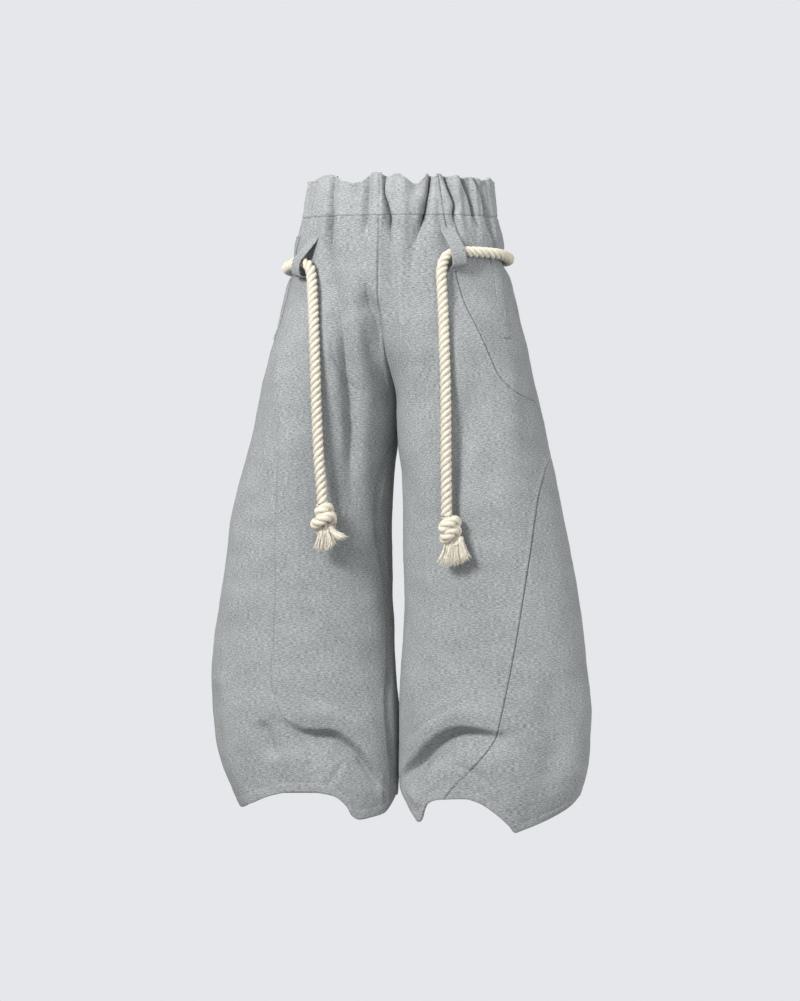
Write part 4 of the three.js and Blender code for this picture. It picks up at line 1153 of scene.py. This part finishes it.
def pocketWelt(side):  # a strip along the pocket's mouth, stitched near its edges and at its ends
    heights = np.linspace(welt["top"], welt["foot"], welt["rows"])[:, None]
    edge = np.array(welt["edgeColumns"])
    inside = np.linspace(-welt["innermost"], welt["innermost"], welt["middleColumns"])
    run = np.concatenate([-edge, inside, edge[::-1]])
    middle = through(weltLine["height"], weltLine["angle"], heights)
    turns = middle + run * welt["width"] / 2 / perDegree(side, middle, heights)
    levels = heights + 0 * turns
    base = clothPoint(side, turns, levels, False)
    normal = clothNormal(side, turns, levels)
    ends = np.clip(np.minimum(welt["top"] - heights, heights - welt["foot"]) / welt["round"], 0, 1)
    rim = (1 - np.abs(run) ** welt["rimSharpness"]) * np.sqrt(ends)
    stitched = welt["stitch"] * bump(welt["stitchAt"], welt["stitchWidth"], np.abs(run))
    tacks = bump(welt["top"] - welt["tackTop"], welt["tackTopWidth"], heights)
    tacks = welt["tack"] * (tacks + bump(welt["foot"] + welt["tackFoot"], welt["tackFootWidth"], heights))
    raised = welt["thickness"] * (welt["least"] + (1 - welt["least"]) * rim)
    raised = raised + welt["edge"] * ease(*welt["edgeRise"], run) * rim  # its back edge stands up
    height = clothSize["sewnLift"] + raised - stitched - tacks * rim
    outer = base + normal * height[..., None]
    inner = base + normal * welt["seat"]
    across = run * welt["width"] / 2 + welt["patternShift"]
    uv = np.stack(np.broadcast_arrays(across, levels), axis=-1) * mm
    name = "pocket_welt_" + ("left" if side > 0 else "right")
    dress(wallMesh(name + "_fleece", outer, inner, uv), fleece, "fleece_grey", name)


for side in (1, -1):
    pocketWelt(side)
print("pockets welted")


paper = {"color": (0.783, 0.799, 0.831), "floorDrop": 0.03, "width": 28, "depth": 24, "tall": 16,
         "behind": 12}


def stagePiece(name, size, tilt, move):  # a plane moved and turned in edit mode
    bpy.ops.object.select_all(action="DESELECT")
    bpy.ops.mesh.primitive_plane_add(size=1, location=(0, 0, 0))
    piece = bpy.context.object
    piece.name = name
    bpy.ops.object.mode_set(mode="EDIT")
    bpy.ops.transform.resize(value=(*size, 1))
    bpy.ops.transform.rotate(value=tilt, orient_axis="X")
    bpy.ops.transform.translate(value=move)
    bpy.ops.object.mode_set(mode="OBJECT")
    material, _, surface = newMaterial(name)
    surface.inputs["Base Color"].default_value = (0, 0, 0, 1)
    surface.inputs["Roughness"].default_value = 1
    surface.inputs["Specular IOR Level"].default_value = 0
    surface.inputs["Emission Color"].default_value = (*paper["color"], 1)
    surface.inputs["Emission Strength"].default_value = 1
    piece.data.materials.append(material)
    piece.visible_diffuse = False  # the paper is seen, and lights nothing
    piece.visible_glossy = False


low = cadBox[0][2] - paper["floorDrop"]
stagePiece("floor", (paper["width"], paper["depth"]), 0, (0, paper["behind"] - paper["depth"] / 2, low))
stagePiece("backdrop", (paper["width"], paper["tall"]), math.pi / 2,
           (0, paper["behind"], low + paper["tall"] / 2))

lights = {
    "key": {"place": (-1.5, -4.0, 1.7), "size": 1.2, "power": 250, "color": (1.0, 0.985, 0.965)},
    "fill": {"place": (3.4, -3.0, 0.4), "size": 3.0, "power": 56, "color": (1.0, 0.99, 0.98)},
    "side": {"place": (4.3, 0.2, -0.5), "size": 2.4, "power": 66, "color": (1.0, 0.99, 0.98)},
    "top": {"place": (-0.6, -0.9, 2.8), "size": 2.0, "power": 40, "color": (1.0, 0.99, 0.98)},
}
aimAt = (0, 0, -0.45)
for name, light in lights.items():
    data = bpy.data.lights.new(name, "AREA")
    data.shape = "SQUARE"
    data.size = light["size"]
    data.energy = light["power"]
    data.color = light["color"]
    lamp = bpy.data.objects.new(name, data)
    lamp.location = light["place"]
    x, y, z = np.subtract(aimAt, light["place"])
    lamp.rotation_euler = (math.atan2(math.hypot(x, y), -z), 0, math.atan2(y, x) - math.pi / 2)
    scene.collection.objects.link(lamp)

room = {"color": (1.0, 0.995, 0.98), "strength": 0.37}
world = bpy.data.worlds.new("studio")
world.use_nodes = True
background = world.node_tree.nodes["Background"]
background.inputs["Color"].default_value = (*room["color"], 1)
background.inputs["Strength"].default_value = room["strength"]
scene.world = world
print("studio lit")
